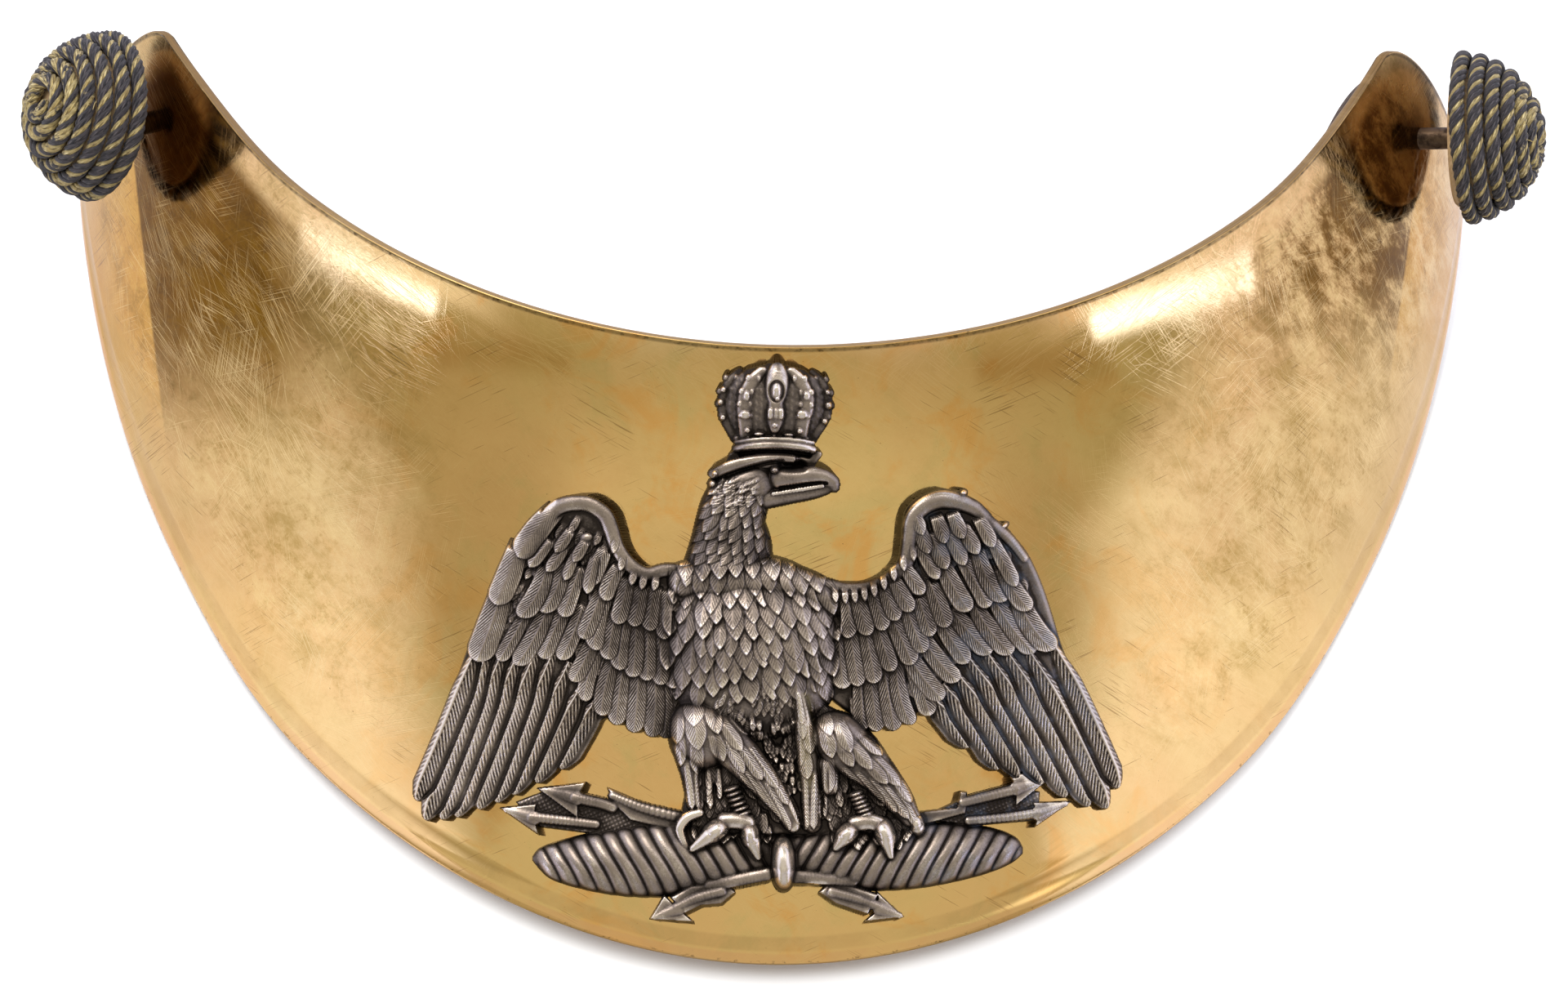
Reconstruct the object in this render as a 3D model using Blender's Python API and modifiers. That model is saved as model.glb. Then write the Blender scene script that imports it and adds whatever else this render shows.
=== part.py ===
"""Officer's gorget: a gilt brass crescent with a silver eagle badge and two corded buttons.

Run with: blender --background --python part.py
Units are metres, +Z up. Everything is first made in the wearing frame (X to the right,
Y up the plate, Z outwards), where the plate is a flat crescent rolled round the neck.
The whole is then turned so that it lies face up, as it rests on a table by itself.
"""
import math

import bmesh
import bpy
import numpy as np
from mathutils import Matrix, Vector

MM = 0.001

# Plate: outline in the unrolled plane (around the neck, up), then rolled to WRAP_RADIUS
WRAP_RADIUS = 71.4 * MM
PLATE_WALL = 1.0 * MM
NECK_END = Vector((71.4 * MM, 30.0 * MM))
NECK_END_ANGLE = math.radians(40.0)
NECK_MIDDLE_ROUNDNESS = 29.3 * MM
NECK_END_ROUNDNESS = 22.6 * MM
HORN_SHOULDER = Vector((95.6 * MM, 14.9 * MM))
PLATE_DROP = 60.5 * MM
BOTTOM_ROUNDNESS = 50.0 * MM
SIDE_ROUNDNESS = 7.0 * MM
TIP_ROUNDNESS = 5.4 * MM
HORN_ROUNDNESS = 8.0 * MM
HORN_BLEND_POWER = 6
LEFT_HORN_TRIM = 1.3 * MM
PLATE_COLUMNS = 64

# The neck edge flares outwards, and the lower edge a little
NECK_FLARE_ARC = 80.0 * MM
NECK_FLARE = 3.0 * MM
NECK_FLARE_REACH = 22.0 * MM
EDGE_FLARE = 1.5 * MM
EDGE_FLARE_REACH = 25.0 * MM
EDGE_CENTRE_UP = 15.0 * MM
EDGE_ROUND_POWER = 1.6
HORN_FLARE_SHARE = 0.20
HORN_FADE_START = 50.0 * MM
HORN_FADE_END = 70.0 * MM

# Pressed border: distance in from the lower edge, and height of the relief there
BORDER_PROFILE = (
    # inward, height
    (0.0 * MM, -0.10 * MM),
    (0.4 * MM, 0.15 * MM),
    (1.1 * MM, 0.15 * MM),
    (1.5 * MM, -0.12 * MM),
    (2.5 * MM, -0.12 * MM),
    (3.0 * MM, 0.12 * MM),
    (3.5 * MM, 0.0 * MM),
)
BORDER_FADE_START = 0.8
PLATE_ROWS = 9

# Leather lining behind the plate
LINING_WALL = 1.2 * MM
LINING_GAP = 0.35 * MM
LINING_INSET = 3.6 * MM
LINING_NECK_INSET = 2.0 * MM
LINING_END = 0.80
LINING_RIGHT_NECK_END = 0.955
LINING_END_BEND = 0.5
LINING_FLUSH_START = 0.78
LINING_FLUSH_FULL = 0.95
LINING_CORNER_POWER = 14
LINING_CORNER_SHARE = 0.25
LINING_COLUMNS = 40
LINING_ROWS = 6

# Silver badge, drawn flat from the middle of the eagle
BADGE_CENTRE = Vector((-0.4 * MM, -30.4 * MM))
BADGE_GAP = 0.35 * MM
BADGE_STEP_ACROSS = 4.0 * MM
BADGE_STEP_UP = 6.0 * MM
BADGE_STEP_START = 0.37
BADGE_TURNED_STEPS = 20
BADGE_BULGE_SEGMENTS = 18
BADGE_BULGE_RINGS = 10
BADGE_KEEP_SIZE = Vector((200.0 * MM, 200.0 * MM, 20.0 * MM))
PEG_RADIUS = 1.0 * MM
PEG_LENGTH = 1.15 * MM
PEG_PLACES = ((-14.0 * MM, -1.0 * MM), (13.0 * MM, -1.0 * MM))
HOLE_CLEARANCE = 0.4 * MM

# Corded buttons: where each foot stands on the horn, and which way each one faces
BUTTONS = (
    # side, foot around, foot up, facing direction, radius
    ("left", -77.9 * MM, 21.4 * MM, (-0.86, 0.17, 0.49), 8.6 * MM),
    ("right", 80.4 * MM, 22.1 * MM, (0.97, 0.03, 0.17), 8.7 * MM),
)
BUTTON_STANDOFF = 3.4 * MM
CORD_DIAMETER = 1.50 * MM
CORD_PITCH = 1.74 * MM
CORD_GAP = 0.3 * MM
CORD_POINTS_PER_TURN = 16
CORD_END_PITCHES = 0.52
CORE_SKIRT = 0.4 * MM
CORE_DOME_STEPS = 7
CORE_SEGMENTS = 24
CORE_BORE_CLEARANCE = 0.3 * MM
POST_RADIUS = 1.1 * MM
POST_DEPTH_IN_CORE = 3.5 * MM
POST_HEAD_RADIUS = 2.6 * MM
POST_HEAD_THICKNESS = 0.8 * MM
POST_HEAD_GAP = 1.3 * MM
POST_SEGMENTS = 20
DRILL_LENGTH = 8.0 * MM

# Finish and resting pose
SMOOTH_ANGLE = math.radians(35.0)
QUARTER_TURN = math.radians(90.0)
TILT_LEAST = math.radians(20.0)
TILT_MOST = math.radians(50.0)
TILT_STEPS = 3000

COLOURS = {
    # node: colour, metallic, roughness
    "gorget_plate": ((0.80, 0.56, 0.22, 1.0), 1.0, 0.25),
    "leather_lining": ((0.045, 0.035, 0.030, 1.0), 0.0, 0.70),
    "eagle_badge": ((0.42, 0.39, 0.38, 1.0), 1.0, 0.40),
    "button_core": ((0.04, 0.04, 0.05, 1.0), 0.0, 0.80),
    "button_cord": ((0.10, 0.10, 0.14, 1.0), 0.0, 0.75),
    "button_post": ((0.60, 0.45, 0.20, 1.0), 1.0, 0.35),
}


# ---------------------------------------------------------------- scene helpers

def start_scene():
    """Empty the scene and return the collections for the parts and for the cutters."""
    for existing in list(bpy.data.objects):
        bpy.data.objects.remove(existing, do_unlink=True)
    parts = bpy.data.collections.new("officers_gorget")
    cutters = bpy.data.collections.new("cutters")
    for collection in (parts, cutters):
        bpy.context.scene.collection.children.link(collection)
    return parts, cutters


def move_to(collection, obj):
    """Leave the object in this collection alone."""
    for other in list(obj.users_collection):
        other.objects.unlink(obj)
    collection.objects.link(obj)


def mesh_object(name, points, faces, collection):
    mesh = bpy.data.meshes.new(name)
    mesh.from_pydata([tuple(point) for point in points], [], faces)
    mesh.update()
    obj = bpy.data.objects.new(name, mesh)
    collection.objects.link(obj)
    return obj


def evaluated_mesh(obj):
    """A new mesh with the object's modifiers applied, in the object's own frame."""
    depsgraph = bpy.context.evaluated_depsgraph_get()
    depsgraph.update()
    return bpy.data.meshes.new_from_object(obj.evaluated_get(depsgraph))


def weld(mesh):
    sheet = bmesh.new()
    sheet.from_mesh(mesh)
    bmesh.ops.remove_doubles(sheet, verts=sheet.verts, dist=0.002 * MM)
    sheet.to_mesh(mesh)
    sheet.free()


def apply_modifiers(obj):
    """Swap the object's mesh, or its curve, for the mesh that it evaluates to."""
    mesh = evaluated_mesh(obj)
    weld(mesh)
    if obj.type == "MESH":
        obj.modifiers.clear()
        obj.data = mesh
        return obj
    solid = bpy.data.objects.new(obj.name + "_solid", mesh)
    solid.matrix_world = obj.matrix_world
    for collection in obj.users_collection:
        collection.objects.link(solid)
    bpy.data.objects.remove(obj, do_unlink=True)
    return solid


def bake_transform(obj):
    """Put the object's own placing into its mesh."""
    bpy.context.view_layer.update()
    obj.data.transform(obj.matrix_world)
    obj.matrix_world = Matrix.Identity(4)


def boolean(obj, other, operation):
    """Join, cut or intersect obj with other, which is removed."""
    cut = obj.modifiers.new(operation.lower(), "BOOLEAN")
    cut.operation = operation
    cut.solver = "EXACT"
    cut.object = other
    apply_modifiers(obj)
    bpy.data.objects.remove(other, do_unlink=True)


def finish_node(obj, name, kind, parts):
    """Name the piece, put it with the parts, and give it its own material and smooth sides."""
    obj.name = name
    obj.data.name = name
    move_to(parts, obj)
    colour, metallic, roughness = COLOURS[kind]
    material = bpy.data.materials.new(name)
    material.use_nodes = True
    shader = material.node_tree.nodes["Principled BSDF"]
    shader.inputs["Base Color"].default_value = colour
    shader.inputs["Metallic"].default_value = metallic
    shader.inputs["Roughness"].default_value = roughness
    obj.data.materials.clear()
    obj.data.materials.append(material)
    if obj.type == "MESH":
        obj.data.shade_smooth()
        obj.data.set_sharp_from_angle(angle=SMOOTH_ANGLE)


# ---------------------------------------------------------------- the plate's surface

def bezier(start, start_handle, end_handle, end, t):
    """Point on a cubic curve."""
    back = 1.0 - t
    return (start * back ** 3 + start_handle * 3 * back ** 2 * t
            + end_handle * 3 * back * t ** 2 + end * t ** 3)


def smooth_step(value, start, end):
    share = min(1.0, max(0.0, (value - start) / (end - start)))
    return share * share * (3.0 - 2.0 * share)


def neck_edge(along):
    """Neck edge of the unrolled crescent; along runs from -1 (left horn) to 1."""
    end_direction = Vector((math.cos(NECK_END_ANGLE), math.sin(NECK_END_ANGLE)))
    point = bezier(
        Vector((0.0, 0.0)),
        Vector((NECK_MIDDLE_ROUNDNESS, 0.0)),
        NECK_END - end_direction * NECK_END_ROUNDNESS,
        NECK_END,
        abs(along),
    )
    return Vector((math.copysign(point.x, along), point.y))


def lower_edge(along):
    """Lower edge of the unrolled crescent, from shoulder to shoulder."""
    point = bezier(
        Vector((0.0, -PLATE_DROP)),
        Vector((BOTTOM_ROUNDNESS, -PLATE_DROP)),
        HORN_SHOULDER - Vector((0.0, SIDE_ROUNDNESS)),
        HORN_SHOULDER,
        abs(along),
    )
    return Vector((math.copysign(point.x, along), point.y))


def horn_end(across):
    """Rounded end of the right horn, from the neck edge (0) to the shoulder (1)."""
    end_direction = Vector((math.cos(NECK_END_ANGLE), math.sin(NECK_END_ANGLE)))
    return bezier(
        NECK_END,
        NECK_END + end_direction * TIP_ROUNDNESS,
        HORN_SHOULDER + Vector((0.0, HORN_ROUNDNESS)),
        HORN_SHOULDER,
        across,
    )


def crescent_point(along, across):
    """Point of the unrolled crescent; across runs from the neck edge to the lower edge."""
    share = abs(along)
    point = neck_edge(share).lerp(lower_edge(share), across)
    straight_end = neck_edge(1.0).lerp(lower_edge(1.0), across)
    point += (horn_end(across) - straight_end) * share ** HORN_BLEND_POWER
    if along < 0.0:
        point.x += LEFT_HORN_TRIM * (1.0 - across) * share ** HORN_BLEND_POWER
    return Vector((math.copysign(point.x, along), point.y))


def outward_lift(around, up):
    """How far the plate stands out from the plain roll, from its two flared edges."""
    neck_gap = math.hypot(around, NECK_FLARE_ARC - up) - NECK_FLARE_ARC
    neck_share = max(0.0, 1.0 - neck_gap / NECK_FLARE_REACH)
    fade = smooth_step(abs(around), HORN_FADE_START, HORN_FADE_END)
    neck_height = NECK_FLARE * (1.0 - (1.0 - HORN_FLARE_SHARE) * fade)
    sideways = (abs(around) / HORN_SHOULDER.x) ** EDGE_ROUND_POWER
    downward = (max(0.0, EDGE_CENTRE_UP - up) / (PLATE_DROP + EDGE_CENTRE_UP)) ** EDGE_ROUND_POWER
    ring = (sideways + downward) ** (1.0 / EDGE_ROUND_POWER)
    edge_gap = (1.0 - ring) * (PLATE_DROP + EDGE_CENTRE_UP)
    edge_share = max(0.0, 1.0 - max(0.0, edge_gap) / EDGE_FLARE_REACH)
    edge_height = EDGE_FLARE * (1.0 - fade)
    return neck_height * neck_share ** 2 + edge_height * edge_share ** 2


def rolled(around, up, height):
    """Roll a point of the flat plane round the neck, height outside WRAP_RADIUS."""
    angle = around / WRAP_RADIUS
    radius = WRAP_RADIUS + height
    return Vector((radius * math.sin(angle), up, radius * math.cos(angle) - WRAP_RADIUS))


def plate_front(around, up):
    return rolled(around, up, outward_lift(around, up))


def plate_normal(around, up):
    """Outward direction of the plate's front at a point of the flat plane."""
    step = 0.1 * MM
    across = plate_front(around + step, up) - plate_front(around - step, up)
    rise = plate_front(around, up + step) - plate_front(around, up - step)
    return across.cross(rise).normalized()


def above_plate(around, up, height):
    """Point at this height in front of the plate (behind it where negative)."""
    return plate_front(around, up) + plate_normal(around, up) * height


# ---------------------------------------------------------------- plate and lining

def border_height(inward):
    """Height of the pressed border at a distance in from the lower edge."""
    places = [row[0] for row in BORDER_PROFILE]
    heights = [row[1] for row in BORDER_PROFILE]
    return float(np.interp(inward, places, heights))


def grid_faces(columns, rows):
    """Quads of a grid whose points run row after row, seen from outside."""
    faces = []
    for row in range(rows - 1):
        for column in range(columns - 1):
            corner = row * columns + column
            faces.append((corner, corner + columns, corner + columns + 1, corner + 1))
    return faces


def make_plate(parts):
    """The crescent: an open front surface with the sheet's thickness behind it."""
    border_start = BORDER_PROFILE[-1][0]
    points = []
    field_rows = [row / (PLATE_ROWS - 1) for row in range(PLATE_ROWS)]
    columns = PLATE_COLUMNS + 1
    for share in field_rows + [None] * (len(BORDER_PROFILE) - 1):
        border_row = len(points) // columns - len(field_rows)
        for column in range(columns):
            along = 2.0 * column / PLATE_COLUMNS - 1.0
            width = (lower_edge(along) - neck_edge(along)).length
            field_end = 1.0 - border_start / width
            if share is None:
                inward = BORDER_PROFILE[-2 - border_row][0]
                across = 1.0 - inward / width
            else:
                inward = border_start
                across = share * field_end
            around, up = crescent_point(along, across)
            fade = 1.0 - smooth_step(abs(along), BORDER_FADE_START, 1.0)
            height = border_height(inward) * fade
            points.append(above_plate(around, up, height))
    rows = len(points) // columns
    plate = mesh_object("gorget_plate", points, grid_faces(columns, rows), parts)
    wall = plate.modifiers.new("sheet", "SOLIDIFY")
    wall.thickness = PLATE_WALL
    wall.offset = -1.0
    wall.use_even_offset = True
    return apply_modifiers(plate)


def make_lining(parts):
    """Leather behind the plate, set in from its edges but for the right end's neck side."""
    points = []
    depth = -(PLATE_WALL + LINING_GAP)
    columns = LINING_COLUMNS + 1
    for row in range(LINING_ROWS + 1):
        share = row / LINING_ROWS
        for column in range(columns):
            place = 2.0 * column / LINING_COLUMNS - 1.0
            neck_end = LINING_RIGHT_NECK_END if place > 0.0 else LINING_END
            along = place * (neck_end + (LINING_END - neck_end) * share ** LINING_END_BEND)
            width = (lower_edge(along) - neck_edge(along)).length
            flush = smooth_step(along, LINING_FLUSH_START, LINING_FLUSH_FULL)
            start = LINING_NECK_INSET * (1.0 - flush) / width
            end = 1.0 - LINING_INSET / width
            rounding = 1.0 - math.sqrt(max(0.0, 1.0 - abs(place) ** LINING_CORNER_POWER))
            trim = (end - start) * rounding * LINING_CORNER_SHARE
            start += trim
            end -= trim
            around, up = crescent_point(along, start + (end - start) * share)
            points.append(above_plate(around, up, depth))
    lining = mesh_object("leather_lining", points, grid_faces(columns, LINING_ROWS + 1), parts)
    wall = lining.modifiers.new("leather", "SOLIDIFY")
    wall.thickness = LINING_WALL
    wall.offset = -1.0
    wall.use_even_offset = True
    return apply_modifiers(lining)


# ---------------------------------------------------------------- badge

def slab(name, outline, top, edge, collection, bottom=-1.0):
    """Solid with a smooth outline, its top edge rounded off; sizes in millimetres."""
    curve = bpy.data.curves.new(name, "CURVE")
    curve.dimensions = "2D"
    curve.fill_mode = "BOTH"
    curve.resolution_u = 3
    curve.render_resolution_u = 0
    curve.extrude = ((top - bottom) / 2 - edge) * MM
    curve.bevel_depth = edge * MM
    curve.bevel_resolution = 0
    curve.offset = -edge * MM
    spline = curve.splines.new("BEZIER")
    spline.bezier_points.add(len(outline) - 1)
    for knot, (across, up) in zip(spline.bezier_points, outline):
        knot.co = (across * MM, up * MM, 0.0)
        knot.handle_left_type = "AUTO"
        knot.handle_right_type = "AUTO"
    spline.use_cyclic_u = True
    obj = bpy.data.objects.new(name, curve)
    obj.location = (0.0, 0.0, (top + bottom) / 2 * MM)
    collection.objects.link(obj)
    obj = apply_modifiers(obj)
    bake_transform(obj)
    return obj


def bulge(name, centre, half_sizes, turn, collection):
    """Rounded form: a sphere stretched to half sizes and turned in the badge's plane."""
    bpy.ops.mesh.primitive_uv_sphere_add(
        segments=BADGE_BULGE_SEGMENTS, ring_count=BADGE_BULGE_RINGS, radius=1.0)
    obj = bpy.context.object
    obj.name = name
    obj.location = Vector(centre) * MM
    obj.rotation_euler = (0.0, 0.0, math.radians(turn))
    obj.scale = Vector(half_sizes) * MM
    move_to(collection, obj)
    bake_transform(obj)
    return obj


def turned(name, profile, centre, turn, flatness, collection):
    """Turned form from a profile of (radius, height), lying along the badge's plane."""
    points = [(radius * MM, 0.0, height * MM) for radius, height in reversed(profile)]
    edges = [(index, index + 1) for index in range(len(points) - 1)]
    mesh = bpy.data.meshes.new(name)
    mesh.from_pydata(points, edges, [])
    obj = bpy.data.objects.new(name, mesh)
    collection.objects.link(obj)
    screw = obj.modifiers.new("turn", "SCREW")
    screw.steps = BADGE_TURNED_STEPS
    screw.render_steps = BADGE_TURNED_STEPS
    screw.use_merge_vertices = True
    screw.merge_threshold = 0.00001
    apply_modifiers(obj)
    lay_down = Matrix.Rotation(-QUARTER_TURN, 4, "X")
    aim = Matrix.Rotation(math.radians(turn), 4, "Z")
    squash = Matrix.Diagonal((1.0, 1.0, flatness, 1.0))
    obj.matrix_world = Matrix.Translation(Vector(centre) * MM) @ squash @ aim @ lay_down
    bake_transform(obj)
    return obj


LEFT_WING = (
    # across, up
    (-6.0, 7.0), (-9.5, 8.7), (-12.4, 8.2), (-14.6, 9.6), (-16.4, 13.6), (-19.6, 15.3),
    (-22.6, 13.2), (-26.0, 8.6), (-28.8, 0.0), (-31.6, -8.2), (-34.5, -14.0),
    (-34.2, -16.5), (-30.0, -16.4), (-24.8, -14.2), (-19.6, -10.8), (-16.4, -6.8),
    (-12.6, -7.7), (-6.0, -7.0), (-3.0, 0.0),
)
RIGHT_WING = (
    # across, up
    (1.0, 0.0), (3.0, -5.0), (9.6, -7.2), (15.2, -5.9), (18.4, -8.4), (23.2, -11.6),
    (29.6, -13.6), (33.8, -14.4), (34.1, -11.6), (31.4, -4.6), (27.2, 5.2), (23.6, 13.0),
    (19.6, 16.4), (15.6, 17.2), (12.5, 14.6), (11.8, 9.6), (8.6, 7.9), (3.0, 8.2),
)
LEFT_COVERTS = (
    # across, up
    (-6.0, 6.0), (-12.0, 7.4), (-15.8, 10.4), (-17.6, 13.6), (-20.0, 14.6), (-22.6, 12.8),
    (-26.0, 8.2), (-28.0, 2.6), (-24.6, -0.4), (-18.0, 0.4), (-15.6, -3.0), (-9.0, -4.4),
    (-6.0, 0.0),
)
RIGHT_COVERTS = (
    # across, up
    (3.0, 0.0), (5.0, -3.6), (12.6, -2.6), (15.8, 0.2), (22.0, 0.0), (27.6, 1.4),
    (25.6, 6.8), (22.4, 12.2), (18.8, 15.0), (15.6, 15.8), (13.6, 13.6), (13.0, 8.8),
    (8.4, 6.6), (4.0, 6.8),
)
LEFT_ARROWS = (
    # across, up
    (-26.2, -15.4), (-22.6, -13.4), (-18.8, -13.8), (-14.4, -14.6), (-7.6, -16.2),
    (-7.6, -18.6), (-13.0, -18.0), (-19.4, -17.4), (-22.8, -17.2),
)
RIGHT_ARROWS = (
    # across, up
    (13.0, -15.2), (18.6, -14.0), (22.6, -12.2), (27.4, -11.6), (29.4, -13.6),
    (26.4, -16.4), (20.4, -16.6), (13.0, -18.6),
)
LOW_LEFT_ARROW = (
    # across, up
    (-11.4, -25.4), (-10.6, -23.4), (-7.0, -22.2), (-3.4, -20.6), (-1.0, -21.4),
    (-2.8, -23.6), (-5.8, -24.2), (-7.4, -25.2),
)
LOW_RIGHT_ARROW = (
    # across, up
    (13.3, -25.0), (9.4, -25.4), (6.0, -24.0), (3.8, -22.4), (3.6, -20.8), (6.4, -21.0),
    (9.4, -22.4), (11.6, -23.6),
)
TAIL_AND_LEGS = (
    # across, up
    (-10.4, -4.0), (-9.0, -9.6), (-8.0, -14.0), (-8.2, -17.4), (0.0, -18.6), (12.0, -17.6),
    (14.8, -15.4), (12.6, -10.4), (9.0, -6.2), (0.0, -2.0),
)
CROWN_PROFILE = (
    # radius, height from the band's lower edge
    (0.0, -1.4), (3.3, -1.4), (3.5, -0.2), (3.9, 0.0), (3.9, 1.0), (5.0, 2.4), (5.6, 3.6),
    (5.5, 5.4), (4.3, 7.0), (2.2, 8.2), (0.0, 8.5),
)
THUNDERBOLT_PROFILE = (
    # radius, height along the half from the middle
    (0.0, -2.0), (2.6, -2.0), (3.3, 6.0), (3.4, 12.0), (2.7, 17.0), (1.6, 21.0),
    (0.8, 23.0), (0.0, 23.5),
)


def badge_forms(workbench):
    """All the forms of the casting, in the badge's flat plane; the first is the body."""
    forms = [bulge("breast", (-1.9, 0.6, 0.3), (8.5, 9.8, 4.6), 0, workbench)]
    slabs = (
        # name, outline, top, edge
        ("wing_left", LEFT_WING, 1.30, 0.45),
        ("wing_right", RIGHT_WING, 1.30, 0.45),
        ("coverts_left", LEFT_COVERTS, 2.00, 0.45),
        ("coverts_right", RIGHT_COVERTS, 2.00, 0.45),
        ("legs", TAIL_AND_LEGS, 1.60, 0.45),
        ("arrows_left", LEFT_ARROWS, 1.20, 0.40),
        ("arrows_right", RIGHT_ARROWS, 1.20, 0.40),
        ("arrow_low_left", LOW_LEFT_ARROW, 1.20, 0.40),
        ("arrow_low_right", LOW_RIGHT_ARROW, 1.20, 0.40),
    )
    for name, outline, top, edge in slabs:
        forms.append(slab(name, outline, top, edge, workbench))
    bulges = (
        # name, centre, half sizes, turn in degrees
        ("neck", (-3.9, 11.0, 0.0), (4.3, 7.6, 3.3), -8),
        ("head", (-2.7, 17.2, 0.1), (4.4, 2.9, 3.0), 8),
        ("beak", (2.2, 16.7, 0.1), (4.2, 1.9, 2.2), 4),
        ("thigh_left", (-6.0, -9.6, 0.1), (3.3, 6.4, 3.5), 12),
        ("thigh_right", (7.4, -10.6, 0.1), (3.4, 7.0, 3.3), 38),
        ("tail", (0.6, -11.6, 0.1), (3.6, 7.4, 2.6), -8),
        ("claw_left", (-4.8, -16.8, 0.1), (3.0, 2.2, 3.2), 0),
        ("claw_right", (10.0, -16.2, 0.1), (3.4, 2.2, 3.2), 0),
        ("knob", (1.2, -20.1, 0.1), (1.7, 3.4, 3.4), 0),
    )
    for name, centre, half_sizes, turn in bulges:
        forms.append(bulge(name, centre, half_sizes, turn, workbench))
    forms.append(turned("crown", CROWN_PROFILE, (-0.2, 20.3, 0.05), 0, 0.62, workbench))
    for name, turn in (("thunderbolt_left", 92), ("thunderbolt_right", -87)):
        half = turned(name, THUNDERBOLT_PROFILE, (0.6, -19.6, 0.05), turn, 0.72, workbench)
        forms.append(half)
    return forms


def cut_into_strips(mesh, step_across, step_up):
    """Cut the mesh along a lattice, so that its long faces can bend with the plate."""
    sheet = bmesh.new()
    sheet.from_mesh(mesh)
    for axis, step in ((0, step_across), (1, step_up)):
        places = [vert.co[axis] for vert in sheet.verts]
        first = math.ceil(min(places) / step)
        last = math.floor(max(places) / step)
        normal = Vector((1.0, 0.0, 0.0)) if axis == 0 else Vector((0.0, 1.0, 0.0))
        for index in range(first, last + 1):
            everything = sheet.verts[:] + sheet.edges[:] + sheet.faces[:]
            bmesh.ops.bisect_plane(sheet, geom=everything, dist=1e-7,
                                   plane_co=normal * (index + BADGE_STEP_START) * step,
                                   plane_no=normal)
    bmesh.ops.triangulate(sheet, faces=sheet.faces)
    sheet.to_mesh(mesh)
    sheet.free()


def badge_to_plate(across, up, height):
    """Lay a point of the badge's flat plane on the plate, its height straight outwards."""
    sideways = across + BADGE_CENTRE.x
    level = up + BADGE_CENTRE.y
    around = sideways
    for _ in range(4):
        radius = WRAP_RADIUS + outward_lift(around, level)
        around = WRAP_RADIUS * math.asin(sideways / radius)
    point = plate_front(around, level)
    gap = BADGE_GAP / plate_normal(around, level).z
    return point + Vector((0.0, 0.0, gap + height))


def make_badge(parts, workbench):
    """The silver casting: forms joined flat, cut level behind, pegged, and bent to the plate."""
    forms = badge_forms(workbench)
    badge = forms[0]
    for form in forms[1:]:
        boolean(badge, form, "UNION")
    bpy.ops.mesh.primitive_cube_add(size=1.0)
    keep = bpy.context.object
    keep.scale = BADGE_KEEP_SIZE
    keep.location = (0.0, 0.0, BADGE_KEEP_SIZE.z / 2)
    bake_transform(keep)
    boolean(badge, keep, "INTERSECT")
    for across, up in PEG_PLACES:
        bpy.ops.mesh.primitive_cylinder_add(
            vertices=POST_SEGMENTS, radius=PEG_RADIUS, depth=2 * PEG_LENGTH)
        peg = bpy.context.object
        peg.location = (across, up, 0.0)
        bake_transform(peg)
        boolean(badge, peg, "UNION")
    cut_into_strips(badge.data, BADGE_STEP_ACROSS, BADGE_STEP_UP)
    for vert in badge.data.vertices:
        vert.co = badge_to_plate(*vert.co)
    weld(badge.data)
    return badge


# ---------------------------------------------------------------- buttons

def facing_frame(origin, direction):
    """Placing that turns +Z to the direction."""
    turn = Vector(direction).normalized().to_track_quat("Z", "Y").to_matrix().to_4x4()
    return Matrix.Translation(origin) @ turn


def turned_piece(name, profile, segments, parts):
    """Turned solid from (radius, height) points that run from top to bottom outside."""
    points = [(radius, 0.0, height) for radius, height in profile]
    edges = [(index, index + 1) for index in range(len(points) - 1)]
    mesh = bpy.data.meshes.new(name)
    mesh.from_pydata(points, edges, [])
    obj = bpy.data.objects.new(name, mesh)
    parts.objects.link(obj)
    screw = obj.modifiers.new("turn", "SCREW")
    screw.steps = segments
    screw.render_steps = segments
    screw.use_merge_vertices = True
    screw.merge_threshold = 0.00001
    return apply_modifiers(obj)


def make_core(radius, parts):
    """Domed mould with a blind hole in its flat back for the post."""
    dome_radius = radius - CORD_DIAMETER - CORD_GAP
    bore = POST_RADIUS + CORE_BORE_CLEARANCE
    profile = []
    for step in range(CORE_DOME_STEPS + 1):
        angle = QUARTER_TURN * (1 - step / CORE_DOME_STEPS)
        profile.append((dome_radius * math.cos(angle), CORE_SKIRT + dome_radius * math.sin(angle)))
    profile[0] = (0.0, profile[0][1])
    profile += [
        (dome_radius, 0.0),
        (bore, 0.0),
        (bore, POST_DEPTH_IN_CORE + CORE_BORE_CLEARANCE),
        (0.0, POST_DEPTH_IN_CORE + CORE_BORE_CLEARANCE),
    ]
    return turned_piece("button_core", profile, CORE_SEGMENTS, parts)


def make_cord(radius, parts):
    """Cord wound from the rim to the top of the dome, one pitch a turn."""
    wind = radius - CORD_DIAMETER / 2
    meridian = wind * QUARTER_TURN
    last_angle = QUARTER_TURN - CORD_PITCH * CORD_END_PITCHES / wind
    length = wind * last_angle
    turns = length / CORD_PITCH
    count = int(turns * CORD_POINTS_PER_TURN)
    curve = bpy.data.curves.new("button_cord", "CURVE")
    curve.dimensions = "3D"
    curve.bevel_depth = CORD_DIAMETER / 2
    curve.bevel_resolution = 2
    curve.use_fill_caps = True
    curve.render_resolution_u = 0
    spline = curve.splines.new("POLY")
    spline.points.add(count)
    for index, knot in enumerate(spline.points):
        share = index / count
        rise = share * length / meridian * QUARTER_TURN
        swing = share * turns * 2 * math.pi
        ring = wind * math.cos(rise)
        knot.co = (ring * math.cos(swing), ring * math.sin(swing),
                   CORE_SKIRT + wind * math.sin(rise), 1.0)
    cord = bpy.data.objects.new("button_cord", curve)
    parts.objects.link(cord)
    return cord


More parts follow.
